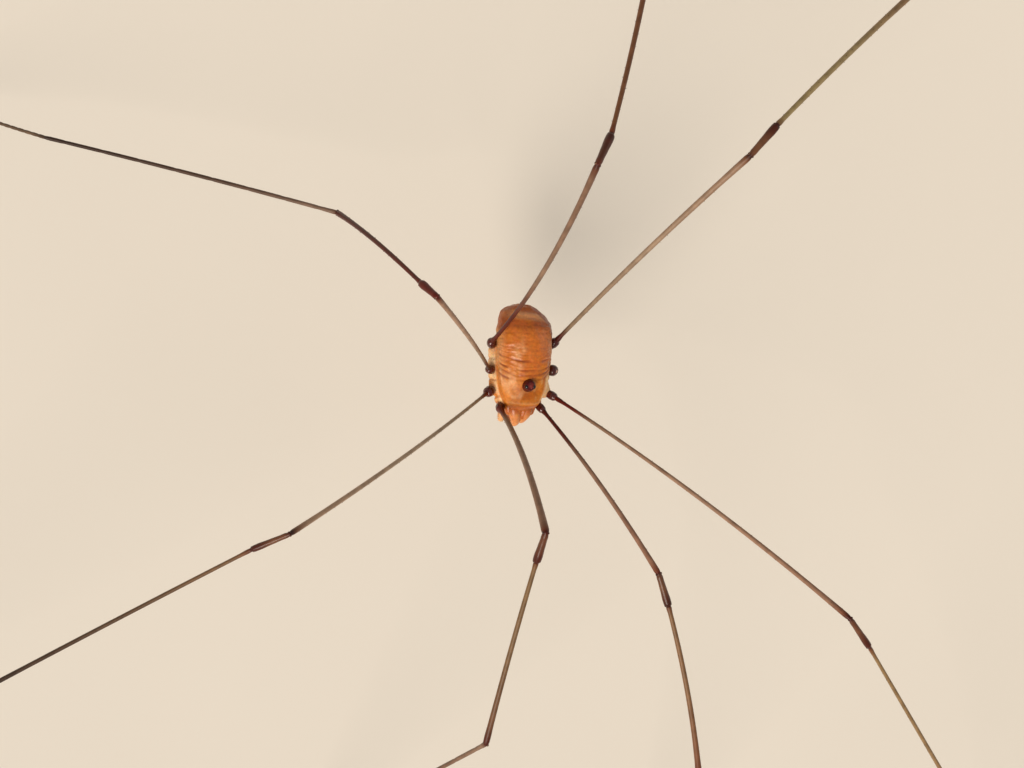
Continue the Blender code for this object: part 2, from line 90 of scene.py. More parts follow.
# %% Where the body stands
EYE_SPREAD, EYE_ALONG, EYE_HEIGHT = 0.165, -0.89, 1.33
MOUND_SHIFT = Vector((0.07, 0.0, 0.04))
eye_boxes = [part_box(f"eye_{name}") for name in SIDE_NAMES.values()]
between_eyes = sum((low + high for low, high in eye_boxes), Vector()) / (2 * len(eye_boxes) * MM)
BODY = between_eyes - Vector((0, EYE_ALONG, EYE_HEIGHT))
FLOOR = -BODY.z
print("the bench's origin, in millimetres of the frame:", [round(c, 2) for c in BODY])


# %% Helpers for the bench
SMOOTH_ANGLE = math.radians(50)
SMOOTHING = 0.5


def deselect():
    """Operators act on all that is selected, and the frame leaves its solids selected."""
    bpy.ops.object.select_all(action="DESELECT")


def pick(*pieces):
    """Selects these pieces alone, the first as the active one."""
    deselect()
    for piece in pieces:
        piece.select_set(True)
    bpy.context.view_layer.objects.active = pieces[0]


def apply_modifier(piece, kind, **settings):
    pick(piece)
    modifier = piece.modifiers.new(kind.title(), kind)
    for name, value in settings.items():
        setattr(modifier, name, value)
    bpy.ops.object.modifier_apply(modifier=modifier.name)


def join(pieces):
    pick(*pieces)
    bpy.ops.object.join()
    return pieces[0]


def melted(pieces, voxel, rounds):
    """Pieces grown into one skin: a voxel remesh, and rounds of smoothing that take its steps away."""
    piece = join(pieces)
    apply_modifier(piece, "REMESH", mode="VOXEL", voxel_size=voxel)
    apply_modifier(piece, "SMOOTH", factor=SMOOTHING, iterations=rounds)
    return piece


def leave_bench(piece, name, finish, slot, *nodes):
    """Shrinks a piece, sets it into the frame with its finish, and hides the solids it stands for."""
    pick(piece)
    piece.location = BODY * MM
    piece.scale = (MM, MM, MM)
    bpy.ops.object.transform_apply(location=True, rotation=True, scale=True)
    bpy.ops.object.shade_smooth_by_angle(angle=SMOOTH_ANGLE)
    piece.name = piece.data.name = name
    piece.data.materials.clear()
    piece.data.materials.append(finish)
    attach(piece, "root")
    if nodes:
        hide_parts(*nodes)


# %% [markdown]
# ## The camera
#
# The animal is seen from above with its head down in the picture, from about 15 cm, and the camera
# leans a little towards the right legs. A lens of 107 mm on a 36 mm sensor gives that framing.

# %% The camera
CAMERA_AZIMUTH, CAMERA_ELEVATION, CAMERA_ROLL = -108.363, 72.469, 109.443
CAMERA_DISTANCE = 150.0
CAMERA_TARGET = Vector((-0.44, -0.90, -0.04))
LENS, SENSOR = 107.05, 36.0
NEAREST, FARTHEST = 0.005, 10.0


def direction(azimuth, elevation):
    """The way from a point to the camera or to a lamp: azimuth 0 stands at -Y, and 90 at +X."""
    a, e = math.radians(azimuth), math.radians(elevation)
    return Vector((math.sin(a) * math.cos(e), -math.cos(a) * math.cos(e), math.sin(e)))


bpy.ops.object.camera_add()
camera = bpy.context.object
camera.name = "camera"
away = direction(CAMERA_AZIMUTH, CAMERA_ELEVATION)
camera.location = (BODY + CAMERA_TARGET + away * CAMERA_DISTANCE) * MM
camera.rotation_mode = "QUATERNION"
roll = Quaternion((0, 0, 1), math.radians(CAMERA_ROLL))
camera.rotation_quaternion = (-away).to_track_quat("-Z", "Y") @ roll
camera.data.lens, camera.data.sensor_width = LENS, SENSOR
camera.data.clip_start, camera.data.clip_end = NEAREST, FARTHEST
bpy.context.scene.camera = camera
print("camera height above the floor, in mm:", round(camera.location.z / MM, 1))

# %% [markdown]
# ## Colours and nodes
#
# Colours are written as sRGB codes, as a paint chart gives them, and one function turns them to the
# linear values that a shader wants. Another adds a node, with its settings and its links at once.
# Two looks come back in several finishes: a tint where a painted value says so, and a soft mottling.


# %% Colours and nodes
def linear(code):
    """The linear colour of an sRGB hex code."""
    channels = [int(code[k:k + 2], 16) / 255 for k in (1, 3, 5)]
    curve = [c / 12.92 if c <= 0.04045 else ((c + 0.055) / 1.055) ** 2.4 for c in channels]
    return (*curve, 1.0)


def feed(tree, node, inputs):
    """Gives each named input a value, or links it to another node's socket."""
    for name, value in inputs.items():
        if isinstance(value, bpy.types.NodeSocket):
            tree.links.new(value, node.inputs[name])
        else:
            node.inputs[name].default_value = value


def add(tree, kind, inputs, stops=(), **settings):
    """Adds a node. An input takes a value or another node's socket, and a ramp takes its stops."""
    node = tree.nodes.new(kind)
    for name, value in settings.items():
        setattr(node, name, value)
    feed(tree, node, inputs)
    for k, (place, code) in enumerate(stops):
        element = node.color_ramp.elements[k] if k < 2 else node.color_ramp.elements.new(place)
        element.position, element.color = place, linear(code)
    return node


def begin(name):
    """A new finish, with its node tree and its shader."""
    made = bpy.data.materials.new(name)
    made.use_nodes = True
    return made, made.node_tree, made.node_tree.nodes["Principled BSDF"]


def per_mm(size):
    """The texture scale whose features are about this many millimetres apart."""
    return 1 / (size * MM)


# A mix node has inputs for numbers, vectors and colours, and these numbers pick those for colours.
MIX_A, MIX_B, MIX_RESULT = 6, 7, 2
# Most values of a noise texture lie between these two.
NOISE_LOW, NOISE_HIGH = 0.3, 0.7


def tinted(tree, tone, tints):
    """The tone with other colours laid over it, each as far as the painted value of its name says."""
    for value, code in tints:
        share = add(tree, "ShaderNodeAttribute", {}, attribute_name=value).outputs["Fac"]
        tone = add(tree, "ShaderNodeMix", {"Factor": share, MIX_A: tone, MIX_B: linear(code)},
                   data_type="RGBA").outputs[MIX_RESULT]
    return tone


def mottled(tree, tone, pattern, darkest, lightest):
    """The tone multiplied by a noise pattern, which darkens and lightens it softly."""
    shade = add(tree, "ShaderNodeMapRange", {
        "Value": pattern.outputs["Fac"], "From Min": NOISE_LOW, "From Max": NOISE_HIGH,
        "To Min": darkest, "To Max": lightest})
    return add(tree, "ShaderNodeMix", {"Factor": 1.0, MIX_A: tone, MIX_B: shade.outputs[0]},
               data_type="RGBA", blend_type="MULTIPLY").outputs[MIX_RESULT]


# %% [markdown]
# ## Hard tanned cuticle
#
# Legs, mound and knees are tanned chitin: brown, satin to glossy, with a fine grain from the cells
# beneath. The eye sees a soft long highlight, a colour that deepens towards each joint and a faint
# cloudiness. A painted map could hold that, but a ramp along each piece needs no unwrapping, so each
# piece carries a value named along, 0 at its root and 1 at its far end. Two more values, flush and
# dim, say how far a maroon blush and a grey brown shade have spread, because no two legs are alike.


# %% Hard tanned cuticle
FLUSH_TONE, DIM_TONE = "#60190B", "#2C2018"
CLOUD_SHADES = (0.72, 1.12)
GLOSS_SHARES = (0.8, 1.25)
GRAIN_STRENGTH, GRAIN_DEPTH = 0.5, 0.2


def tanned_cuticle(name, stops, roughness, coat=0.0, grain=0.05, cloud=0.5, shine=0.22):
    """A hard cuticle. Grain is the size of its finest bumps and cloud that of its mottling, in mm."""
    made, tree, shader = begin(name)
    place = add(tree, "ShaderNodeTexCoord", {}).outputs["Object"]
    along = add(tree, "ShaderNodeAttribute", {}, attribute_name="along").outputs["Fac"]
    tone = add(tree, "ShaderNodeValToRGB", {"Fac": along}, stops=stops).outputs["Color"]
    tone = tinted(tree, tone, (("flush", FLUSH_TONE), ("dim", DIM_TONE)))
    clouds = add(tree, "ShaderNodeTexNoise", {"Vector": place, "Scale": per_mm(cloud), "Detail": 3.0})
    grains = add(tree, "ShaderNodeTexNoise", {"Vector": place, "Scale": per_mm(grain), "Detail": 2.0})
    bump = add(tree, "ShaderNodeBump", {"Height": grains.outputs["Fac"], "Strength": GRAIN_STRENGTH,
                                        "Distance": GRAIN_DEPTH * grain * MM})
    smoothest, roughest = (roughness * share for share in GLOSS_SHARES)
    gloss = add(tree, "ShaderNodeMapRange", {"Value": clouds.outputs["Fac"], "To Min": smoothest,
                                             "To Max": roughest})
    feed(tree, shader, {
        "Base Color": mottled(tree, tone, clouds, *CLOUD_SHADES), "Roughness": gloss.outputs[0],
        "Normal": bump.outputs["Normal"], "IOR": 1.5, "Specular IOR Level": shine,
        "Coat Weight": coat, "Coat Roughness": 0.1})
    return made


FEMUR_CUTICLE = tanned_cuticle("olive_brown_femur_cuticle", (
    (0.0, "#3A120A"), (0.02, "#5E3A28"), (0.08, "#A08668"), (0.5, "#B0957A"), (0.93, "#AE8C70"),
    (0.975, "#7A5036"), (0.99, "#34140C")), 0.36)
PATELLA_CUTICLE = tanned_cuticle("maroon_patella_cuticle", (
    (0.0, "#34140C"), (0.12, "#64402A"), (0.4, "#6A4830"), (0.75, "#4A2414"), (1.0, "#2E0E08")), 0.34,
    coat=0.12)
TIBIA_CUTICLE = tanned_cuticle("brown_tibia_cuticle", (
    (0.0, "#3C2016"), (0.015, "#7A5C3C"), (0.06, "#9C885C"), (0.5, "#A08A60"), (0.88, "#8E6E4C"),
    (0.96, "#5A3020"), (1.0, "#34140C")), 0.36)
METATARSUS_CUTICLE = tanned_cuticle("grey_brown_metatarsus_cuticle", (
    (0.0, "#5A3A2C"), (0.03, "#8C7460"), (0.4, "#6A5442"), (1.0, "#4A3A2E")), 0.42)
TARSUS_CUTICLE = tanned_cuticle("grey_brown_tarsus_cuticle", (
    (0.0, "#4A3628"), (0.05, "#66513F"), (0.6, "#5A4838"), (1.0, "#3E3026")), 0.48)
TROCHANTER_CUTICLE = tanned_cuticle("glossy_maroon_trochanter_cuticle", (
    (0.0, "#8A4228"), (0.2, "#541609"), (0.7, "#460F07"), (1.0, "#5A1A0C")), 0.3, coat=1.0, shine=0.12)
# The mound's top is a lighter maroon: partly its own colour and partly a painted highlight.
MOUND_CUTICLE = tanned_cuticle("dark_maroon_mound_cuticle", (
    (0.0, "#6A2412"), (0.3, "#4A0D08"), (0.92, "#4E090A"), (1.0, "#843630")), 0.3, coat=0.3, grain=0.04,
    shine=0.1)
SCAR_CUTICLE = tanned_cuticle("pale_scar_cuticle", (
    (0.0, "#C99484"), (0.5, "#E4BCA8"), (1.0, "#D9A894")), 0.4)
CLAW_CUTICLE = tanned_cuticle("black_claw_cuticle", ((0.0, "#2E1C14"), (1.0, "#120A08")), 0.25)
print("hard cuticles:", len([m for m in bpy.data.materials if m.name.endswith("cuticle")]))

# %% [markdown]
# ## Soft waxy cuticle of the trunk
#
# The trunk's cuticle is thin and waxy over pale tissue. Light goes a little way into it, so that
# edges glow orange and no shadow is hard. The back is reddish orange, the shield golden, the thick
# first leg pieces cream, and each fold holds a darker line of painted shade. Values painted on the
# skin's points say where each colour, painted shade and painted highlight is, so that they follow the
# form.


# %% Soft waxy cuticle
WAX_CLOUD, WAX_SPECK, WAX_CELL = 0.7, 0.12, 0.05
WAX_CLOUD_LOW, WAX_CLOUD_HIGH = 0.35, 0.65
WAX_SHADES = (0.84, 1.1)
CELL_STRENGTH, CELL_DEPTH = 0.35, 0.012
WAX_GLOSS = (("Roughness", 0.5, 0.34), ("Coat Weight", 0.0, 0.5))
GLOW_DEPTH = 0.25


def waxy_cuticle(name, plain, deep, cream, back, shade_and_dark):
    """A soft cuticle in five tones, which the skin's own values named after them bring in."""
    made, tree, shader = begin(name)
    place = add(tree, "ShaderNodeTexCoord", {}).outputs["Object"]
    clouds = add(tree, "ShaderNodeTexNoise", {"Vector": place, "Scale": per_mm(WAX_CLOUD), "Detail": 4.0})
    cloudy = add(tree, "ShaderNodeMapRange", {"Value": clouds.outputs["Fac"], "From Min": WAX_CLOUD_LOW,
                                              "From Max": WAX_CLOUD_HIGH})
    tone = add(tree, "ShaderNodeMix", {"Factor": cloudy.outputs[0], MIX_A: linear(plain),
                                       MIX_B: linear(deep)}, data_type="RGBA").outputs[MIX_RESULT]
    tone = tinted(tree, tone, (("back", back), ("cream", cream), ("shade_and_dark", shade_and_dark)))
    specks = add(tree, "ShaderNodeTexNoise", {"Vector": place, "Scale": per_mm(WAX_SPECK), "Detail": 2.0})
    cells = add(tree, "ShaderNodeTexVoronoi", {"Vector": place, "Scale": per_mm(WAX_CELL)})
    bump = add(tree, "ShaderNodeBump", {"Height": cells.outputs["Distance"], "Strength": CELL_STRENGTH,
                                        "Distance": CELL_DEPTH * MM}, invert=True)
    on_back = add(tree, "ShaderNodeAttribute", {}, attribute_name="back").outputs["Fac"]
    for socket, plain_value, back_value in WAX_GLOSS:
        gloss = add(tree, "ShaderNodeMapRange", {"Value": on_back, "To Min": plain_value,
                                                 "To Max": back_value})
        feed(tree, shader, {socket: gloss.outputs[0]})
    feed(tree, shader, {
        "Base Color": mottled(tree, tone, specks, *WAX_SHADES), "Normal": bump.outputs["Normal"],
        "Coat Roughness": 0.28, "Specular IOR Level": 0.28, "IOR": 1.48, "Subsurface Weight": 0.25,
        "Subsurface Radius": (1.0, 0.4, 0.15), "Subsurface Scale": GLOW_DEPTH * MM})
    return made


# The last tone is dark: mostly painted shade on the trunk, black finger tips on the mouth parts.
TRUNK_CUTICLE = waxy_cuticle("waxy_orange_trunk_cuticle", "#CC7A24", "#BC6616", "#F8D2A0", "#C4681C",
                             "#7E2C0A")
MOUTH_CUTICLE = waxy_cuticle("waxy_pale_mouth_cuticle", "#D4863C", "#C4702C", "#E8B888", "#B45A22",
                             "#2A120C")


# %% [markdown]
# ## The lens of an eye
#
# A harvestman's eye is one clear smooth dome over a black pit. From a step away only a bead of light
# on black is seen, so a very smooth dark dielectric does it, with a faint brown where it thins.


# %% The lens of an eye
def eye_lens():
    made, tree, shader = begin("smooth_black_lens")
    rim = add(tree, "ShaderNodeLayerWeight", {"Blend": 0.35}).outputs["Facing"]
    tone = add(tree, "ShaderNodeMix", {"Factor": rim, MIX_A: linear("#0A0606"),
                                       MIX_B: linear("#3A1C16")}, data_type="RGBA")
    feed(tree, shader, {"Base Color": tone.outputs[MIX_RESULT], "Roughness": 0.06, "IOR": 1.5})
    return made


LENS_FINISH = eye_lens()

# %% [markdown]
# ## Drawing a tube by hand
#
# Almost every piece of this animal is a tube of changing thickness. By hand one adds a filled circle
# and extrudes it again and again, setting each new ring in place. The function below does just that.
# Rings are carried along a bent path without twisting, and ends are closed with a dome of rings that
# grow smaller, so that no cap is flat.


# %% Rings along a path
def tangents(points):
    """The way forward at each point of a path."""
    found = []
    for k in range(len(points)):
        before, after = points[max(k - 1, 0)], points[min(k + 1, len(points) - 1)]
        found.append((after - before).normalized())
    return found


def rings_along(points, radii, sides, across=Vector((1, 0, 0)), flat=1.0):
    """One ring of points round each point of a path, carried along so that nothing twists."""
    rings = []
    for point, way, radius in zip(points, tangents(points), radii):
        across = (across - way * across.dot(way)).normalized()
        above = way.cross(across) * flat
        turns = [2 * math.pi * k / sides for k in range(sides)]
        rings.append([point + (across * math.cos(t) + above * math.sin(t)) * radius for t in turns])
    return rings


DOME_STEPS = (78, 60, 40, 20)


def with_domes(points, radii, depth=0.8):
    """The path with a dome at each end, as deep as a share of the end's own radius."""
    ways = tangents(points)
    front, back = [], []
    for angle in DOME_STEPS:
        out, shrink = math.sin(math.radians(angle)), math.cos(math.radians(angle))
        front.append((points[0] - ways[0] * radii[0] * depth * out, radii[0] * shrink))
        back.append((points[-1] + ways[-1] * radii[-1] * depth * out, radii[-1] * shrink))
    path = front + list(zip(points, radii)) + back[::-1]
    return [point for point, _ in path], [radius for _, radius in path]


def drawn_out(rings):
    """A closed tube: a filled circle, extruded once for every further ring, each set in place."""
    deselect()
    bpy.ops.mesh.primitive_circle_add(vertices=len(rings[0]), fill_type="NGON")
    piece = bpy.context.object
    bpy.ops.object.mode_set(mode="EDIT")
    for here, there in zip(rings, rings[1:]):
        bpy.ops.mesh.extrude_region_move(TRANSFORM_OT_translate={"value": there[0] - here[0]})
    bpy.ops.object.mode_set(mode="OBJECT")
    piece.data.vertices.foreach_set("co", np.array(rings, np.float32).ravel())
    bpy.ops.object.mode_set(mode="EDIT")
    bpy.ops.mesh.select_all(action="SELECT")
    bpy.ops.mesh.normals_make_consistent(inside=False)
    bpy.ops.object.mode_set(mode="OBJECT")
    return piece


def paint(piece, name, values):
    """Writes one value for each point of a piece."""
    layer = piece.data.attributes.new(name, "FLOAT", "POINT")
    layer.data.foreach_set("value", np.asarray(values, np.float32))


def tube(points, radii, sides, across=Vector((1, 0, 0)), depth=0.8, flat=1.0):
    """A domed tube that carries the value along, from 0 at its root to 1 at its far end."""
    path, sizes = with_domes(points, radii, depth)
    piece = drawn_out(rings_along(path, sizes, sides, across, flat))
    runs = [0.0]
    for here, there in zip(path, path[1:]):
        runs.append(runs[-1] + (there - here).length)
    paint(piece, "along", np.repeat(np.array(runs) / runs[-1], sides))
    return piece


def even(steps):
    """The shares from 0 to 1 in so many equal steps."""
    return [k / steps for k in range(steps + 1)]


def blended(stations, place):
    """The value at a place among stations of (place, value), eased from one to the next."""
    for (here, value), (there, after) in zip(stations, stations[1:]):
        if place <= there:
            f = min(max((place - here) / (there - here), 0.0), 1.0)
            return value + (after - value) * f * f * (3 - 2 * f)
    return stations[-1][1]


def curve_through(points, steps):
    """A smooth path through a few points, with so many steps between each two."""
    path = []
    for k in range(len(points) - 1):
        before, here = points[max(k - 1, 0)], points[k]
        there, after = points[k + 1], points[min(k + 2, len(points) - 1)]
        for s in range(steps):
            f = s / steps
            path.append(0.5 * (2 * here + (there - before) * f
                               + (2 * before - 5 * here + 4 * there - after) * f * f
                               + (3 * here - before - 3 * there + after) * f * f * f))
    return path + [points[-1]]


# %% [markdown]
# ## The trunk's outline
#
# The trunk is one oval with a waist that hardly shows. Its outline is given by stations along it:
# place, half width, top and bottom, in millimetres from the hips. Its rings lean back as they go
# down, most at the waist, and that is why each fold bows towards the head when seen from above.

# %% The trunk's outline
OUTLINE = (
    (-2.15, 0.36, 0.42, 0.02),
    (-2.06, 0.58, 0.60, -0.16),
    (-1.85, 0.86, 0.79, -0.30),
    (-1.55, 1.06, 0.93, -0.36),
    (-1.15, 1.21, 1.05, -0.40),
    (-0.66, 1.29, 1.17, -0.42),
    (0.20, 1.35, 1.36, -0.60),
    (1.10, 1.39, 1.38, -0.72),
    (1.80, 1.38, 1.24, -0.72),
    (2.25, 1.30, 1.05, -0.62),
    (2.62, 1.10, 0.82, -0.46),
    (2.90, 0.68, 0.58, -0.20),
    (3.06, 0.26, 0.36, 0.00),
)
WIDEST_SHARE = 0.52
ROUNDNESS = 0.92
WAIST = -0.62
WAIST_LEAN = 0.62
LEAN_END = 2.1
TRUNK_RINGS = 90
TRUNK_SIDES = 64


def outline_at(along):
    """Half width, top and bottom of the trunk at a place along it, on a smooth curve."""
    k = 0
    while k < len(OUTLINE) - 2 and OUTLINE[k + 1][0] < along:
        k += 1
    before, here = OUTLINE[max(k - 1, 0)], OUTLINE[k]
    there, after = OUTLINE[k + 1], OUTLINE[min(k + 2, len(OUTLINE) - 1)]
    span = there[0] - here[0]
    f = (along - here[0]) / span
    values = []
    for i in (1, 2, 3):
        slope_here = span * (there[i] - before[i]) / (there[0] - before[0])
        slope_there = span * (after[i] - here[i]) / (after[0] - here[0])
        value = (2 * f**3 - 3 * f**2 + 1) * here[i] + (3 * f**2 - 2 * f**3) * there[i]
        values.append(value + (f**3 - 2 * f**2 + f) * slope_here + (f**3 - f**2) * slope_there)
    return values


def lean_at(along):
    """How far a ring leans back as it goes down: most at the waist, none at the two ends."""
    front = OUTLINE[0][0]
    if along < WAIST:
        return WAIST_LEAN * (along - front) / (WAIST - front)
    return WAIST_LEAN * max(0.0, 1 - (along - WAIST) / (LEAN_END - WAIST))


def trunk_ring(along):
    half_width, top, bottom = outline_at(along)
    widest = bottom + (top - bottom) * WIDEST_SHARE
    ring = []
    for k in range(TRUNK_SIDES):
        turn = 2 * math.pi * k / TRUNK_SIDES
        x = half_width * math.copysign(abs(math.sin(turn)) ** ROUNDNESS, math.sin(turn))
        z = widest + (top - widest if math.cos(turn) > 0 else widest - bottom) * math.cos(turn)
        ring.append(Vector((x, along + lean_at(along) * (top - z), z)))
    return ring


PLACES = np.linspace(OUTLINE[0][0], OUTLINE[-1][0], TRUNK_RINGS)
trunk = drawn_out([trunk_ring(place) for place in PLACES])
print("trunk: length", round(PLACES[-1] - PLACES[0], 2), "mm, points", len(trunk.data.vertices))

# %% [markdown]
# ## The thick first leg pieces
#
# The coxae are fused to the trunk and fill its flanks like fingers laid side by side. They could be
# pieces of their own, but then a seam would show where skin runs on. So each is drawn as a tube, and
# all are melted into the trunk with a voxel remesh, whose steps a light smoothing takes away.

# %% Hips and coxae
HIPS = {1: (1.06, -2.07), 2: (1.62, -1.36), 3: (1.62, -0.20), 4: (1.62, 1.12)}
HIP_SWING = {(LEFT, 2): -0.10, (RIGHT, 2): 0.10}
COXA_ROOTS = {
    1: (0.54, -1.44, -0.60),
    2: (0.52, -0.86, -0.72),
    3: (0.52, -0.24, -0.75),
    4: (0.58, 0.42, -0.70),
}
COXA_RADIUS = 0.47
COXA_FLATNESS = 0.8
HIND_COXA_SHARE = 1.1
COXA_SHAPE = ((0, 0.9), (0.3, 1.0), (0.6, 1.06), (0.8, 1.04), (0.92, 0.86), (1, 0.58))
COXA_STEPS, COXA_SIDES, COXA_DOME = 13, 24, 0.5
TROCHANTER_RADIUS = 0.28
SOFT_FOLDS = (
    (0.28, 0.30, ((0.76, -1.75, -0.12), (1.06, -1.05, -0.10), (1.16, -0.20, -0.10),
                  (1.16, 0.60, -0.14), (1.08, 1.20, -0.18))),
    (0.18, 0.24, ((0.80, -1.80, -0.36), (1.24, -1.20, -0.36), (1.38, -0.40, -0.36),
                  (1.38, 0.40, -0.38), (1.32, 1.05, -0.42))),
    (0.28, 0.20, ((0.62, -1.60, -0.02), (0.58, -1.95, -0.02), (0.52, -2.30, -0.08))),
    (0.28, 0.17, ((0.14, -1.80, 0.12), (0.14, -2.20, 0.13), (0.10, -2.52, 0.02))),
)
SOFT_FOLD_STEPS, SOFT_FOLD_SIDES = 6, 20
VOXEL, SMOOTH_ROUNDS = 0.028, 14
ALL_HIPS = [(side, pair) for side in SIDE_NAMES for pair in HIPS]


def tag(side, pair):
    return f"{SIDE_NAMES[side]}_{pair}"


def hip(side, pair):
    x, y = HIPS[pair]
    return Vector((side * x, y + HIP_SWING.get((side, pair), 0.0), 0.0))


def coxa_line(side, pair):
    """Where a coxa starts beneath the trunk, where it ends, and the way it runs."""
    x, y, z = COXA_ROOTS[pair]
    start = Vector((side * x, y, z))
    forward = (hip(side, pair) - start).normalized()
    return start, hip(side, pair) - forward * TROCHANTER_RADIUS, forward


def coxa(side, pair):
    start, end, forward = coxa_line(side, pair)
    thickest = COXA_RADIUS * (HIND_COXA_SHARE if pair == 4 else 1.0)
    path = [start.lerp(end, f) for f in even(COXA_STEPS)]
    radii = [thickest * blended(COXA_SHAPE, f) for f in even(COXA_STEPS)]
    return tube(path, radii, COXA_SIDES, forward.cross(UP), COXA_DOME, COXA_FLATNESS)


def soft_fold(side, first, last, places):
    """A fold of soft skin: two fill the flank between the coxae, and two lie round the jaws."""
    path = curve_through([Vector((side * x, y, z)) for x, y, z in places], SOFT_FOLD_STEPS)
    return tube(path, np.linspace(first, last, len(path)), SOFT_FOLD_SIDES)


parts = [trunk]
for side in (LEFT, RIGHT):
    parts += [coxa(side, pair) for pair in HIPS] + [soft_fold(side, *fold) for fold in SOFT_FOLDS]
skin = melted(parts, VOXEL, SMOOTH_ROUNDS)
print("skin: points", len(skin.data.vertices))

# %% [markdown]
# ## Folds, wrinkles and hollows
#
# Back plates meet in shallow folds, and the soft skin between them wrinkles finely. A hollow runs
# along each side of the shield, its front edge is a low ridge, and the flank is pleated lengthwise
# above the coxae. Sculpting strokes could give that. Here each point is moved along its own normal
# by simple rules of where it lies on the trunk, so that the folds follow the leaning rings exactly.

# %% Where each point of the skin lies
points = np.array([v.co for v in skin.data.vertices])
normals = np.array([v.normal for v in skin.data.vertices])
SHAPE_AT = np.array([outline_at(place) for place in PLACES])
LEAN_AT = np.array([lean_at(place) for place in PLACES])
LEAN_ROUNDS = 8
COXA_EDGE, TOP_EDGE, WAIST_EDGE = (1.04, 1.16), (-0.25, 0.35), (WAIST - 0.05, WAIST + 0.15)


def on_trunk(column, along):
    return np.interp(along, PLACES, SHAPE_AT[:, column])


along = points[:, 1].copy()
for _ in range(LEAN_ROUNDS):
    along = points[:, 1] - np.interp(along, PLACES, LEAN_AT) * (on_trunk(1, along) - points[:, 2])
half_width, top, bottom = (on_trunk(column, along) for column in range(3))
widest = bottom + (top - bottom) * WIDEST_SHARE
half_height = np.where(points[:, 2] > widest, top - widest, widest - bottom)
across_share = points[:, 0] / half_width
height_share = (points[:, 2] - widest) / half_height
outside = np.sqrt(across_share**2 + height_share**2)


# %% Soft edges and noise
def eased(low, high, values):
    """0 below low, 1 above high, and a soft step between them."""
    f = np.clip((values - low) / (high - low), 0, 1)
    return f * f * (3 - 2 * f)


def between(start, end, values):
    """1 between two soft edges, each given by where it begins and ends."""
    return eased(*start, values) * (1 - eased(*end, values))


def hump(centre, width, values):
    """1 at the centre, falling away softly on both sides."""
    return np.exp(-(((values - centre) / width) ** 2))


def noisy(size, stretch=(1, 1, 1), shift=0.0):
    """Smooth noise at each point of the skin, with features of this many millimetres."""
    spots = points * np.array(stretch) / size + shift
    return np.array([noise.noise(Vector(spot)) for spot in spots])


def patchy(mean, swing, size, shift):
    """A share from 0 to 1 that comes and goes in patches of this size."""
    return np.clip(mean + swing * noisy(size, shift=shift), 0, 1)


on_coxa = eased(*COXA_EDGE, outside)
on_body = 1 - on_coxa
on_top = eased(*TOP_EDGE, height_share) * on_body
on_back = eased(*WAIST_EDGE, along)
on_shield = (1 - on_back) * on_body
print("share of the skin that is coxa:", round(float(on_coxa.mean()), 2))

# %% Folds of the back
# Each fold's place along the back, its depth and how dark the painted shade in its groove is.
FOLDS = ((-0.62, 0.022, 0.6), (-0.36, 0.018, 0.6), (-0.12, 0.024, 0.8), (0.10, 0.006, 0.15),
         (0.32, 0.018, 0.6), (0.62, 0.005, 0.12), (0.95, 0.009, 0.25), (1.32, 0.005, 0.1),
         (1.72, 0.009, 0.22), (2.10, 0.010, 0.0), (2.46, 0.014, 0.3), (2.76, 0.012, 0.35))
FOLD_WIDTH = 0.06
LIP_OFF, LIP_WIDTH, LIP_HEIGHT = 2.2 * FOLD_WIDTH, 1.4 * FOLD_WIDTH, 0.35
LONG_DRIFT, SHORT_DRIFT = 0.09, 0.035
drift = noisy(0.9) * LONG_DRIFT + noisy(0.4, shift=15.0) * SHORT_DRIFT
drifted = along + drift
broken = np.clip(0.7 + 1.5 * noisy(0.5, (0.6, 1, 1), 4.0), 0.05, 1.3)
shade_and_dark = np.zeros(len(points))
lift = np.zeros(len(points))
for fold, depth, darkness in FOLDS:
    groove = hump(fold, FOLD_WIDTH, drifted) * on_top * broken
    lip = hump(fold + LIP_OFF, LIP_WIDTH, drifted) * on_top
    lift += depth * (LIP_HEIGHT * lip - groove)
    # Painted shade darkens the groove of each fold.
    shade_and_dark = np.maximum(shade_and_dark, groove * darkness)
print("folds:", len(FOLDS))

# %% Fine wrinkles, hollows and pleats
WRINKLE_STEP, WRINKLE_HEIGHT, WRINKLE_DARKNESS = 0.17, 0.006, 0.2
WRINKLES_END = (0.4, 1.4)
DIMPLE_HEIGHT, WAVE_HEIGHT, PORE_HEIGHT = 0.03, 0.04, 0.006
wrinkled = on_back * (1 - eased(*WRINKLES_END, along)) * on_top * patchy(0.5, 1.2, 0.6, 7.0)
ripple = np.sin(2 * np.pi * (along + 1.3 * drift) / WRINKLE_STEP + 3.5 * noisy(0.5, shift=3.0))
lift += WRINKLE_HEIGHT * ripple * wrinkled
# Painted shade darkens the troughs of the fine wrinkles.
shade_and_dark = np.maximum(shade_and_dark, WRINKLE_DARKNESS * wrinkled * eased(0.3, 0.9, -ripple))
dimples = noisy(0.3, (0.7, 1.1, 0.8), 21.0) + 0.5 * noisy(0.15, (0.6, 1.2, 0.8), 13.0)
lift += DIMPLE_HEIGHT * dimples * on_back

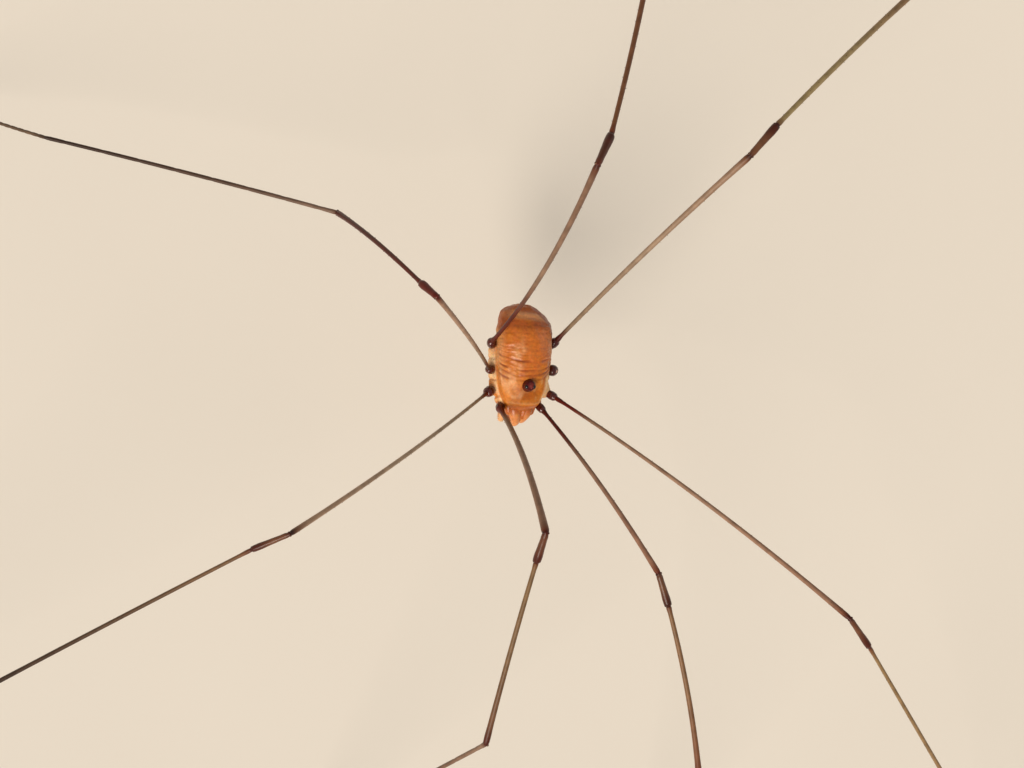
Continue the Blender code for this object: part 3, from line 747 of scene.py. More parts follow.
HOLLOW_ACROSS, HOLLOW_ALONG, HOLLOW_DEPTH = (0.5, 0.16), (-1.25, 0.42), 0.05
RIDGE_ALONG, RIDGE_HEIGHT = (-1.78, 0.06), 0.04
RIM_ACROSS, RIM_HEIGHT = (0.93, 0.07), 0.03
from_midline = np.abs(across_share)
hollow = hump(*HOLLOW_ACROSS, from_midline) * hump(*HOLLOW_ALONG, along)
lift -= HOLLOW_DEPTH * hollow * on_top
front_ridge = hump(*RIDGE_ALONG, along) * eased(0.2, 0.6, height_share)
lift += RIDGE_HEIGHT * front_ridge
rim = hump(*RIM_ACROSS, from_midline) * on_shield * eased(-0.3, 0.2, height_share)
lift += RIM_HEIGHT * rim
waves = noisy(0.34, (1.0, 0.45, 1.0), 11.0)
beside = eased(0.25, 0.5, from_midline) * between((-1.6, -1.2), (-0.1, 0.3), along)
wavy = np.maximum(on_shield, beside) * on_top
lift += WAVE_HEIGHT * waves * wavy

# %% Gaps between the coxae, and pleats of the flank
GAP_WIDTH, GAP_DEPTH, GAP_DARKNESS = 0.11, 0.05, 0.28
PLEAT_STEP, PLEAT_HEIGHT = 0.34, 0.016
REAR_SKEW, SKEW_EDGE = 0.16, (1.8, 2.7)
coxa_distances = []
for key in ALL_HIPS:
    start, end, forward = (np.array(part) for part in coxa_line(*key))
    run = np.clip((points - start) @ forward, 0, np.linalg.norm(end - start))
    coxa_distances.append(np.linalg.norm(points - start - run[:, None] * forward, axis=1))
nearest, second = np.sort(coxa_distances, axis=0)[:2]
between_coxae = on_coxa * hump(nearest, GAP_WIDTH, second) * eased(-2.0, -1.7, points[:, 1])
lift -= GAP_DEPTH * between_coxae
# Painted shade darkens the gaps between the coxae.
shade_and_dark = np.maximum(shade_and_dark, GAP_DARKNESS * between_coxae)

pleats = np.sin(2 * np.pi * height_share / PLEAT_STEP + 3.0 * noisy(0.8, shift=5.0))
pleated = between((-1.0, -0.75), (-0.2, 0.1), height_share) * on_body * on_back
lift += PLEAT_HEIGHT * pleats * pleated
lift += PORE_HEIGHT * noisy(0.16, shift=2.0)

moved = points + normals * lift[:, None]
moved[:, 1] -= REAR_SKEW * points[:, 0] * eased(*SKEW_EDGE, along)
skin.data.vertices.foreach_set("co", moved.astype(np.float32).ravel())
skin.data.update()
print("deepest fold", round(float(lift.min()), 3), "mm, highest ridge", round(float(lift.max()), 3), "mm")

# %% [markdown]
# ## Where each colour lies
#
# Three values are painted on the skin: how reddish it is, how cream and how dark. A hand could paint
# them, but here each zone is written as where it lies along, across and up the body, with soft edges,
# and a broken noise where the real zone is uneven. The strongest zone wins at each point. Some zones
# are painted light: shade on the left side, away from the lamp, and in folds and gaps, and highlights
# on the right side and on crests.

# %% Where the back is reddish, and painted shade on its left side
GOLDEN_EDGE, GOLDEN_END = (0.72, 1.0), (1.6, 2.1)
BACK_EDGE, SHADED_LEFT_EDGE = (-0.55, 0.1), (-0.5, 0.7)
golden_side = eased(*GOLDEN_EDGE, from_midline) * (1 - 0.8 * eased(*GOLDEN_END, along))
back = on_back * on_body * (1 - 0.7 * golden_side) * eased(*BACK_EDGE, height_share)
# Painted shade: the left side, away from the lamp, is painted redder.
painted_shade_left = 0.5 * eased(*SHADED_LEFT_EDGE, across_share)
back = np.clip(back * (0.6 + 0.9 * noisy(0.45, (1.3, 0.9, 1), 1.0) + painted_shade_left), 0, 1)
# Painted shade: below the front ridge the front face is painted redder and darker.
below_ridge = 1 - eased(-1.98, -1.85, along)
back = np.maximum(back, 0.6 * below_ridge) * (1 - 0.5 * beside)
print("mean share of red:", round(float(back.mean()), 2))

# %% Where the skin is cream, and the painted highlights
FRONT_EDGE, TIP_EDGE = (-1.95, -1.6), (2.6, 2.84)
under = eased(0.2, 0.8, -height_share) * on_body
cream = np.clip(on_coxa * (0.58 + 1.2 * noisy(0.5, shift=9.0)), 0, 1)
cream = np.maximum(cream, 0.6 * under) * eased(*FRONT_EDGE, points[:, 1])
# Painted highlights: cream laid on the crests of the shield's waves.
highlight_streaks = np.clip(1.8 * waves - 0.1, 0, 1) * wavy * eased(-1.7, -1.4, along)
shoulder = between((2.25, 2.45), TIP_EDGE, along) * on_top
# A painted highlight: a broad pale sheen on the right of the back, the side towards the lamp.
painted_sheen_patch = hump(-0.32, 0.26, across_share) * hump(0.6, 0.75, along) * on_top
pale_margin = eased(0.74, 0.9, across_share) * between((-1.85, -1.6), (-0.75, -0.5), along)
shield_patch = hump(-0.69, 0.24, across_share) * hump(-0.85, 0.5, along) * on_body
# The golden right flank faces the lamp and is painted creamier there: painted light.
for share, zone in (
        (0.14, front_ridge), (0.7, highlight_streaks), (0.25, shoulder),
        (0.22, golden_side * on_back * (across_share < 0)),
        (0.3, painted_sheen_patch * patchy(0.6, 1.3, 0.3, 31.0)),
        (0.42, shield_patch * patchy(0.8, 0.9, 0.25, 41.0)), (0.75, pale_margin)):
    cream = np.maximum(cream, share * zone)
print("mean share of cream:", round(float(cream.mean()), 2))

# %% Where the skin is dark, and where shade is painted
REAR_START, REAR_HALF_WIDTH = 1.2, 1.38
HIP_EDGE = (0.26, 0.5)
front_patch = hump(0.0, 0.42, across_share) * between((-1.72, -1.55), (-1.1, -0.9), along)
# Painted shade: the band where the back turns down to the tail, and the tail's right flank.
tail_band = hump(2.14, 0.27, drifted) * on_top
tail_side = eased(0.5, 0.9, -across_share) * eased(1.6, 2.0, along)
# Painted shade: the rear margin on the left, the side away from the lamp, is darkened.
rear_run = np.maximum(along - REAR_START, 0) / (OUTLINE[-1][0] - REAR_START)
from_middle = np.hypot(points[:, 0] / REAR_HALF_WIDTH, rear_run)
rear_rim = eased(0.84, 0.96, from_middle) * eased(-0.1, 0.5, points[:, 0]) * eased(0.6, 1.4, along)
rear_rim *= eased(-0.6, -0.2, height_share)
# Round each bead the coxa has a dark end rim of its own, widened into painted shade.
hip_distance = np.min([np.linalg.norm(points - np.array(hip(*key)), axis=1) for key in ALL_HIPS], axis=0)
for share, zone in (
        (0.55, tail_band), (0.6, tail_side), (0.5, eased(*TIP_EDGE, along)), (0.85, rear_rim),
        (0.35, 1 - eased(*HIP_EDGE, hip_distance)), (0.36, front_patch), (0.36, below_ridge)):
    shade_and_dark = np.maximum(shade_and_dark, share * zone)
for name, values in (("back", back), ("cream", cream), ("shade_and_dark", shade_and_dark)):
    paint(skin, name, values)
coxa_nodes = [f"coxa_{tag(*key)}" for key in ALL_HIPS]
leave_bench(skin, "trunk_skin", TRUNK_CUTICLE, "belly", "prosoma", "opisthosoma", *coxa_nodes)
print("trunk skin: faces", len(skin.data.polygons))

# %% [markdown]
# ## The eye mound
#
# The eyes sit on the two sides of one dark mound, which has a shallow channel along its top and a
# row of tiny points beside it. The mound is drawn upwards in rings, and its top points are pushed
# down along the midline for the channel. Each eye is a dome.

# %% The eye mound
MOUND_ALONG, MOUND_HEIGHT, MOUND_GROWTH = -0.84, 1.24, 1.08
MOUND_RINGS = ((-0.28, 0.33), (-0.10, 0.285), (0.02, 0.255), (0.10, 0.24), (0.18, 0.19), (0.215, 0.12),
               (0.23, 0.04))
MOUND_STEPS, MOUND_SIDES, MOUND_DOME = 20, 40, 0.2
CHANNEL_DEPTH, CHANNEL_WIDTH = 0.045, 0.07
CHANNEL_START, CHANNEL_RUN = 0.05, 0.15
low, high = MOUND_RINGS[0][0], MOUND_RINGS[-1][0]
heights = [low + (high - low) * f for f in even(MOUND_STEPS)]
mound_points = [Vector((0, MOUND_ALONG, MOUND_HEIGHT + h)) for h in heights]
mound_radii = [MOUND_GROWTH * blended(MOUND_RINGS, h) for h in heights]
mound = tube(mound_points, mound_radii, MOUND_SIDES, depth=MOUND_DOME)
for vertex in mound.data.vertices:
    rise = max(0.0, vertex.co.z - MOUND_HEIGHT - CHANNEL_START) / CHANNEL_RUN
    vertex.co.z -= CHANNEL_DEPTH * min(rise, 1.0) * math.exp(-((vertex.co.x / CHANNEL_WIDTH) ** 2))
print("mound: height above its root", round(high - low, 2), "mm")


# %% Small points, modelled once and copied
TIP_SHARE, TIP_BEND = 0.1, 0.2


def spine(radius, length, sides=5):
    """One tapered point along +Z, its foot at the origin, its tip bent a little."""
    deselect()
    bpy.ops.mesh.primitive_cone_add(vertices=sides, radius1=radius, radius2=TIP_SHARE * radius,
                                    depth=length, location=(0, 0, length / 2))
    made = bpy.context.object
    bpy.ops.object.transform_apply(location=True, rotation=True, scale=True)
    for vertex in made.data.vertices:
        vertex.co.x += TIP_BEND * length * (max(vertex.co.z, 0.0) / length) ** 2
    return made


def scattered(master, places):
    """Copies of one small shape, each set on a place, turned to a way and sized, in one mesh."""
    copies = []
    for place, way, size in places:
        copy = bpy.data.objects.new("copy", master.data.copy())
        bpy.context.scene.collection.objects.link(copy)
        copy.rotation_mode = "QUATERNION"
        copy.rotation_quaternion = way.to_track_quat("Z", "X")
        copy.location, copy.scale = place, (size, size, size)
        copies.append(copy)
    pick(*copies)
    bpy.ops.object.transform_apply(location=True, rotation=True, scale=True)
    bpy.data.objects.remove(master)
    return join(copies)


POINT_STEPS, POINT_FAN = 4, 60
POINT_ACROSS, POINT_OUT = 0.105, 0.45
POINT_REACH, POINT_RISE, POINT_FOOT = 0.17, 0.16, 0.03
POINT_RADIUS, POINT_LENGTH = 0.022, 0.075
mound_spots = []
for side in (LEFT, RIGHT):
    for f in even(POINT_STEPS):
        turn = math.radians(POINT_FAN * (2 * f - 1))
        way = Vector((side * POINT_OUT, math.sin(turn), math.cos(turn))).normalized()
        foot = Vector((side * POINT_ACROSS, MOUND_ALONG + POINT_REACH * math.sin(turn),
                       MOUND_HEIGHT + POINT_FOOT + POINT_RISE * math.cos(turn)))
        mound_spots.append((foot, way, 1.0))
mound = join([mound, scattered(spine(POINT_RADIUS, POINT_LENGTH), mound_spots)])
mound.location = MOUND_SHIFT
pick(mound)
bpy.ops.object.transform_apply(location=True, rotation=False, scale=False)
leave_bench(mound, "eye_mound", MOUND_CUTICLE, "eye_mound", "ocularium")

# %% The two eyes
EYE_RADIUS, EYE_SIDES = 0.125, 28
EYE_FORWARD, EYE_RAISED = -0.15, 0.25
EYE_RINGS = (-0.9, -0.5, 0.0, 0.25, 0.4, 0.55, 0.7, 0.8, 0.88, 0.94, 0.98)
for side in (LEFT, RIGHT):
    centre = Vector((side * EYE_SPREAD, EYE_ALONG, EYE_HEIGHT)) + MOUND_SHIFT
    out = Vector((side, EYE_FORWARD, EYE_RAISED)).normalized()
    eye_points = [centre + out * EYE_RADIUS * s for s in EYE_RINGS]
    eye_radii = [EYE_RADIUS * math.sqrt(1 - s * s) for s in EYE_RINGS]
    eye = drawn_out(rings_along(eye_points, eye_radii, EYE_SIDES, UP))
    leave_bench(eye, f"lens_{SIDE_NAMES[side]}", LENS_FINISH, "eye", f"eye_{SIDE_NAMES[side]}")
print("eyes:", len(SIDE_NAMES))

# %% [markdown]
# ## The stance
#
# Each leg is given as the solids give it: five lengths, and for each segment its swing from straight
# ahead, its rise above the horizon and how far it bows. One leg is missing beyond its hip.

# %% The stance
SEGMENTS = ("femur", "patella", "tibia", "metatarsus", "tarsus")
LENGTHS = {
    1: (10.65, 1.70, 9.40, 11.40, 19.0),
    2: (18.85, 2.00, 18.00, 19.00, 34.0),
    3: (10.65, 1.35, 9.60, 14.50, 19.0),
    4: (14.65, 1.90, 13.00, 18.00, 24.0),
}
POSES = {
    (LEFT, 1): ((29.9, 37.6, 0.50, 0.08), (20.6, -4.3, 0, 0), (15.9, -10, 0.35, 0.08),
                (10, -57, 0, 0), (11, 48, 14)),
    (LEFT, 2): ((50.8, 38.4, 0.60, 0.23), (40.7, -15.3, 0, 0), (41, -27, 0.20, -0.06),
                (30, -34, 0, 0), (29, 38, -16)),
    (LEFT, 4): ((145.6, 36.6, 0.25, 0.22), (140.2, 4.4, 0, 0), (126.5, -25, 0.15, 0.13),
                (141.9, -32, 0, 0), (144, 34, 12)),
    (RIGHT, 1): ((4.3, 63, 0.50, 0), (6.2, -28.5, 0, 0), (9.8, -12.8, 0.15, 0.10),
                 (34, -56, 0, 0), (36, 55, -18)),
    (RIGHT, 2): ((68.4, 43.5, 0.50, 0), (60.1, -32.7, 0, 0), (53, -36, 0.20, 0.09),
                 (68, -29, 0, 0), (70, 34, 14)),
    (RIGHT, 3): ((129.2, 52, 0.35, 0.01), (139.5, -57, 0, 0), (145.3, -69.4, 0.40, 0),
                 (103, -8, 0, 0.06), (106, 42, 10)),
    (RIGHT, 4): ((-170.8, 50.8, 0.75, 0.07), (-146, -30.2, 0, 0), (-158.4, -30, 0.35, 0),
                 (-161.9, -34, 0, 0), (-163, 36, 12)),
}
BARE_HIP = (LEFT, 3)
BARE_HIP_AIM = (76, 40)
BOW_SLOPE = 4


def aim(side, swing, rise):
    """The unit vector with this swing from straight ahead and this rise above the horizon."""
    a, b = math.radians(swing), math.radians(rise)
    return Vector((side * math.sin(a) * math.cos(b), -math.cos(a) * math.cos(b), math.sin(b)))


def leg_joints(side, pair):
    """The hip, knee and further joints of one leg, with the bow of each segment as a vector."""
    joints = [hip(side, pair)]
    bows = []
    for length, (swing, rise, up, away_from) in zip(LENGTHS[pair], POSES[(side, pair)][:4]):
        joints.append(joints[-1] + aim(side, swing, rise) * length)
        bows.append(aim(side, swing, rise + 90) * up + aim(side, swing + 90, 0) * away_from)
    return joints, bows


def on_bow(start, end, bow, f):
    """A point of a bowed segment, at a share of its length."""
    return start.lerp(end, f) + bow * (BOW_SLOPE * f * (1 - f))


def hip_way(side, pair):
    """The way a leg leaves its hip."""
    if (side, pair) == BARE_HIP:
        return aim(side, *BARE_HIP_AIM)
    joints, bows = leg_joints(side, pair)
    return (joints[1] - joints[0] + bows[0] * BOW_SLOPE).normalized()


knees = {key: leg_joints(*key)[0][1].z - FLOOR for key in POSES}
print("knee heights, in mm:", {tag(*key): round(height, 1) for key, height in knees.items()})

# %% [markdown]
# ## Trochanters
#
# A short glossy bead joins each coxa to its femur and turns from one to the other. It is drawn along
# the bend. The bead without a leg ends in a shallow cup, made with an inset that is pushed inwards,
# and a pale healed skin closes it.

# %% Trochanters
TROCHANTER_REACH = 0.24
TROCHANTER_SHAPE = ((0.0, 0.18), (0.2, 0.23), (0.5, 0.25), (0.8, 0.235), (0.92, 0.22), (1.0, 0.18))
TROCHANTER_STEPS, TROCHANTER_SIDES, TROCHANTER_DOME = 20, 32, 0.45
SMALL_BEADS = {(LEFT, 1): 0.84, (LEFT, 2): 0.9, (RIGHT, 1): 0.94, (RIGHT, 2): 1.1, (RIGHT, 3): 0.94}
BARE_SHAPE = ((0.0, 0.19), (0.2, 0.26), (0.5, 0.29), (0.7, 0.275), (0.88, 0.225), (1.0, 0.15))
CUP_RIM, CUP_SLOPE, CUP_DEPTH, CUP_TONE = 0.03, 0.03, 0.05, 0.6
SCAR_DEPTHS, SCAR_RADII, SCAR_SIDES, SCAR_DOME = (0.14, 0.05, 0.02), (0.09, 0.10, 0.085), 20, 0.5


def trochanter_path(side, pair):
    _, inner, _ = coxa_line(side, pair)
    middle = hip(side, pair)
    outer = middle + hip_way(side, pair) * TROCHANTER_REACH
    return [inner * (1 - f) ** 2 + middle * 2 * f * (1 - f) + outer * f * f
            for f in even(TROCHANTER_STEPS)]


def trochanter(side, pair):
    size = SMALL_BEADS.get((side, pair), 1.0)
    radii = [size * blended(TROCHANTER_SHAPE, f) for f in even(TROCHANTER_STEPS)]
    return tube(trochanter_path(side, pair), radii, TROCHANTER_SIDES, depth=TROCHANTER_DOME)


def cup(side, pair):
    """The bead of the missing leg, cut off square and hollowed."""
    radii = [blended(BARE_SHAPE, f) for f in even(TROCHANTER_STEPS)]
    piece = drawn_out(rings_along(trochanter_path(side, pair), radii, TROCHANTER_SIDES))
    out = hip_way(side, pair)
    pick(piece)
    bpy.ops.object.mode_set(mode="EDIT")
    bpy.ops.mesh.select_all(action="DESELECT")
    bpy.ops.object.mode_set(mode="OBJECT")
    end = max(piece.data.polygons, key=lambda face: face.center.dot(out))
    end.select = True
    bpy.ops.object.mode_set(mode="EDIT")
    bpy.ops.mesh.inset(thickness=CUP_RIM, depth=0.0)
    bpy.ops.mesh.inset(thickness=CUP_SLOPE, depth=-CUP_DEPTH)
    bpy.ops.object.mode_set(mode="OBJECT")
    paint(piece, "along", [CUP_TONE] * len(piece.data.vertices))
    return piece


for key in ALL_HIPS:
    bead = cup(*key) if key == BARE_HIP else trochanter(*key)
    leave_bench(bead, f"bead_{tag(*key)}", TROCHANTER_CUTICLE, "trochanter", f"trochanter_{tag(*key)}")
scar_end, scar_way = trochanter_path(*BARE_HIP)[-1], hip_way(*BARE_HIP)
scar = tube([scar_end - scar_way * depth for depth in SCAR_DEPTHS], SCAR_RADII, SCAR_SIDES,
            depth=SCAR_DOME)
leave_bench(scar, f"healed_scar_{tag(*BARE_HIP)}", SCAR_CUTICLE, "trochanter")
print("trochanters:", len(ALL_HIPS), "of which one is bare")

# %% [markdown]
# ## Legs as thin as life
#
# A femur is a fifth to a third of a millimetre thick, slimmest behind the hip and swollen at the
# knee. The patella is a dark club with a pair of knobs at each end, on which the knee hinges. The
# tibia swells again at its far end, and the metatarsus is a thread with faint false joints. Each leg
# has its own widths, and the profiles are shares of them.

# %% Leg sizes and tones
# Widths in mm of the femur, the patella and the tibia.
WIDTHS = {
    (LEFT, 1): (0.23, 0.36, 0.27), (LEFT, 2): (0.21, 0.30, 0.21), (LEFT, 4): (0.26, 0.37, 0.29),
    (RIGHT, 1): (0.30, 0.38, 0.26), (RIGHT, 2): (0.20, 0.28, 0.20), (RIGHT, 3): (0.22, 0.36, 0.24),
    (RIGHT, 4): (0.25, 0.38, 0.27),
}
METATARSUS_SHARE = 0.85
PROFILES = {
    "femur": ((0, 1.0), (0.015, 1.12), (0.04, 0.82), (0.2, 0.86), (0.5, 1.0), (0.85, 1.12), (0.95, 1.26),
              (0.985, 1.3), (1, 1.0)),
    "patella": ((0, 0.70), (0.1, 0.90), (0.22, 0.88), (0.5, 0.98), (0.8, 1.12), (0.94, 1.08), (1, 0.76)),
    "tibia": ((0, 0.9), (0.012, 1.02), (0.04, 0.86), (0.3, 0.93), (0.7, 1.0), (0.88, 1.1),
              (0.965, 1.24), (0.99, 1.18), (1, 0.95)),
    "metatarsus": ((0, 0.95), (0.012, 1.15), (0.04, 1.0), (0.4, 0.96), (0.9, 0.88), (0.985, 0.98),
                   (1, 0.8)),
}
# How far the maroon has spread over the femur, the patella, the tibia and the metatarsus.
TONES = {
    (LEFT, 1): (0.52, 0.1, 0.6, 0.3), (LEFT, 2): (0.42, 0.2, 0.4, 0.3), (LEFT, 4): (0.12, 0.1, 0.05, 0.0),
    (RIGHT, 1): (0.42, 0.3, 0.5, 0.2), (RIGHT, 2): (0.05, 0.2, 0.6, 0.5),
    (RIGHT, 3): (0.35, 1.0, 1.0, 0.2), (RIGHT, 4): (0.4, 0.5, 0.75, 0.3),
}
# The share of each femur that is dark at its root, and how dim each segment is at its two ends.
DARK_ROOT = {(LEFT, 1): 0.5, (LEFT, 2): 0.2, (LEFT, 4): 0.1, (RIGHT, 1): 0.2, (RIGHT, 2): 0.06,
             (RIGHT, 3): 0.25, (RIGHT, 4): 0.62}
DIM_ENDS = {
    (RIGHT, 2, "tibia"): (0.0, 1.0), (RIGHT, 3, "metatarsus"): (0.0, 0.7),
    (RIGHT, 3, "tibia"): (0.2, 0.5), (RIGHT, 3, "patella"): (0.1, 0.3),
    (RIGHT, 1, "femur"): (0.0, 0.2), (RIGHT, 1, "tibia"): (0.0, 0.3),
    (RIGHT, 4, "patella"): (0.0, 0.4), (RIGHT, 3, "femur"): (1.0, -0.35),
    (RIGHT, 4, "femur"): (0.25, 0.35), (LEFT, 4, "femur"): (0.4, 0.22),
    (LEFT, 1, "femur"): (0.5, -0.1),
}
FINISHES = {"femur": FEMUR_CUTICLE, "patella": PATELLA_CUTICLE, "tibia": TIBIA_CUTICLE,
            "metatarsus": METATARSUS_CUTICLE}
RING_STEPS = {"femur": 0.3, "patella": 0.08, "tibia": 0.3, "metatarsus": 0.12}
LEG_SIDES, LEAST_STEPS = 14, 14
FALSE_JOINT_STEP, FALSE_JOINT_DEPTH, FALSE_JOINT_WIDTH = 1.8, 0.13, 0.1


# %% Drawing a segment
def false_joint(place):
    """How far a false joint narrows the thread at a place along it."""
    off = (place / FALSE_JOINT_STEP) % 1 - 0.5
    return 1 - FALSE_JOINT_DEPTH * math.exp(-((off * FALSE_JOINT_STEP / FALSE_JOINT_WIDTH) ** 2))


ROOT_EDGE = 0.3


def blush(piece, tone, root, dims):
    """Spreads maroon over a piece, fully at its root, and darkens its two ends by their own shares."""
    run = np.empty(len(piece.data.vertices), np.float32)
    piece.data.attributes["along"].data.foreach_get("value", run)
    paint(piece, "flush", np.maximum(tone, 1 - eased(ROOT_EDGE * root, root + 0.001, run)))
    paint(piece, "dim", np.clip(dims[0] + (dims[1] - dims[0]) * np.sqrt(run), 0, 1))


def leg_segment(segment, start, end, bow, width):
    """One bowed segment with closer rings near its ends."""
    length = (end - start).length
    shares = even(max(LEAST_STEPS, int(length / RING_STEPS[segment])))
    if segment != "metatarsus":
        shares = [0.5 - 0.5 * math.cos(math.pi * f) for f in shares]
    path = [on_bow(start, end, bow, f) for f in shares]
    radii = [blended(PROFILES[segment], f) * width / 2 for f in shares]
    if segment == "metatarsus":
        radii = [radius * false_joint(f * length) for radius, f in zip(radii, shares)]
    return tube(path, radii, LEG_SIDES)


# %% [markdown]
# ## Knobs and points
#
# The knobs of a hinge lie across the leg, level with the floor, and stick out a little on both
# sides. Rows of minute black-tipped points run along the femur and the tibia. Both are small, but
# they give the thin legs their joints and their grip. The points are one small cone, copied.

# %% Knobs and points
KNOB_REACH, KNOB_WIDTH, KNOB_SIDES = 0.36, 0.25, 12
KNOB_SHAPE = ((-1.0, 0.8), (-0.72, 1.0), (0.0, 0.7), (0.72, 1.0), (1.0, 0.8))
SPINE_ROWS = {"femur": 5, "tibia": 4}
SPINE_STEP = 0.62
SPINE_RADIUS, SPINE_LENGTH, SPINE_SIDES = 0.015, 0.06, 4
SPINE_DEPTH, SPINE_LEAN, SPINE_DRIFT = 0.46, 0.8, 0.22
SPINE_SIZE, SPINE_SIZE_SWING = 0.8, 0.3


def knobs(place, forward, width):
    """A pair of knobs joined through the leg, as one short pin with swollen ends."""
    across = forward.cross(UP).normalized()
    return tube([place + across * width * KNOB_REACH * f for f, _ in KNOB_SHAPE],
                [width * KNOB_WIDTH * size for _, size in KNOB_SHAPE], KNOB_SIDES, forward)


def leg_points(segment, start, end, bow, width):
    """The rows of points on one segment."""
    length = (end - start).length
    forward = (end - start).normalized()
    across = forward.cross(UP).normalized()
    above = across.cross(forward)
    rows = SPINE_ROWS[segment]
    spots = []
    for row in range(rows):
        turn = 2 * math.pi * (row + 0.25) / rows
        out = across * math.cos(turn) + above * math.sin(turn)
        for k in range(1, int(length / SPINE_STEP)):
            f = (k + 0.5 * (row % 2) + SPINE_DRIFT * math.sin(7 * k + 3 * row)) * SPINE_STEP / length
            foot = on_bow(start, end, bow, f)
            foot += out * blended(PROFILES[segment], f) * width * SPINE_DEPTH
            size = SPINE_SIZE + SPINE_SIZE_SWING * math.sin(5 * k + row)
            spots.append((foot, (out + forward * SPINE_LEAN).normalized(), size))
    return scattered(spine(SPINE_RADIUS, SPINE_LENGTH, SPINE_SIDES), spots)


# %% [markdown]
# ## Feet of many rings
#
# The last segment is split into scores of tiny rings, which let it curl like a whip. It comes down
# on an arc and then lies along the floor. Its path is walked in small steps, and the thickness goes
# up and down once for each ring. A small hooked claw ends it.

# %% Feet of many rings
TARSUS_STEP = 0.1
TARSOMERE, GROOVE_SHARE = 0.4, 0.2
GROOVE_SIZE, RING_SIZE, RING_SWELL = 0.84, 0.96, 0.09
TARSUS_SHARES = (0.86, 0.42)
TARSUS_SIDES = 10
SETTLING = 0.1
LYING_HEIGHT = 1.05
CLAW_LENGTH, CLAW_STEPS, CLAW_SIDES, CLAW_CLEARANCE = 0.16, 7, 8, 0.012
CLAW_SIZE, CLAW_TAPER = 0.75, 0.6


def tarsus_path(side, start, length, pose, width):
    """Points and radii of the last segment, down to the floor and along it to its tip."""
    swing, slope, turn = pose
    count = int(length / TARSUS_STEP)
    first, last = (share * width / 2 for share in TARSUS_SHARES)
    thick = [first + (last - first) * f for f in even(count)]
    landing_height = thick[count // 3]
    bend = (start.z - FLOOR - landing_height) / (1 - math.cos(math.radians(slope)))
    landing = bend * math.radians(slope)
    step = length / count
    path, here = [start.copy()], start.copy()
    for k in range(count):
        run = (k + 0.5) * step
        here += aim(side, swing + turn * run / length, -slope * max(0.0, 1 - run / landing)) * step
        path.append(here.copy())
    for k, point in enumerate(path):
        settled = min(max((k * step - landing * (1 - SETTLING)) / (landing * SETTLING), 0.0), 1.0)
        point.z += (FLOOR + thick[k] * LYING_HEIGHT - point.z) * settled
    rings = []
    for k, radius in enumerate(thick):
        phase = (k * TARSUS_STEP / TARSOMERE) % 1
        rings.append(radius * (GROOVE_SIZE if phase < GROOVE_SHARE else RING_SIZE + RING_SWELL * phase))
    return path, rings


def foot(side, start, length, pose, width):
    """The ringed last segment of a leg, and its claw."""
    path, radii = tarsus_path(side, start, length, pose, width)
    piece = tube(path, radii, TARSUS_SIDES)
    tip, ahead = path[-1], (path[-1] - path[-2]).normalized()
    fall = UP * (tip.z - FLOOR - CLAW_CLEARANCE)
    claw = tube([tip + ahead * CLAW_LENGTH * f - fall * f * f for f in even(CLAW_STEPS)],
                [radii[-1] * (CLAW_SIZE - CLAW_TAPER * f) for f in even(CLAW_STEPS)], CLAW_SIDES)
    return piece, claw


# %% Legs
FEMUR_START = 0.6
KNOB_SHARES = {"patella": 0.9, "metatarsus": 1.5}
KNEE_STEP_BACK = 0.06


def leg(side, pair):
    """The five segments of one leg and its claw, each left in the frame as a piece of its own."""
    key = (side, pair)
    widths = dict(zip(SEGMENTS, WIDTHS[key]))
    widths["metatarsus"] = widths["tibia"] * METATARSUS_SHARE
    joints, bows = leg_joints(side, pair)
    for k, segment in enumerate(SEGMENTS[:4]):
        start, end = joints[k], joints[k + 1]
        forward = (end - start).normalized()
        if segment == "femur":
            start = start + hip_way(side, pair) * TROCHANTER_REACH * FEMUR_START
        width = widths[segment]
        pieces = [leg_segment(segment, start, end, bows[k], width)]
        root = DARK_ROOT[key] if segment == "femur" else 0.0
        blush(pieces[0], TONES[key][k], root, DIM_ENDS.get((side, pair, segment), (0.0, 0.0)))
        if segment in SPINE_ROWS:
            pieces.append(leg_points(segment, start, end, bows[k], width))
        if segment in KNOB_SHARES:
            pieces.append(knobs(start, forward, KNOB_SHARES[segment] * width))
        if segment == "patella":
            pieces.append(knobs(end - forward * KNEE_STEP_BACK, forward, width))
        name = f"{segment}_{tag(*key)}"
        leave_bench(join(pieces), f"thin_{name}", FINISHES[segment], segment, name)
    piece, claw = foot(side, joints[4], LENGTHS[pair][4], POSES[key][4], widths["metatarsus"])
    leave_bench(piece, f"ringed_tarsus_{tag(*key)}", TARSUS_CUTICLE, "tarsus", f"tarsus_{tag(*key)}")
    leave_bench(claw, f"claw_{tag(*key)}", CLAW_CUTICLE, "tarsus")


for key in POSES:
    leg(*key)
print("legs drawn:", len(POSES))

# %% [markdown]
# ## Jaws and palps
#
# Two three-part jaws hang in front of the mouth: a short shaft, a swollen hand and two black-tipped
# fingers. Beside them two feelers, the palps, are tucked under with their small claws back. Each is
# drawn as one tube, narrowed where its parts join.

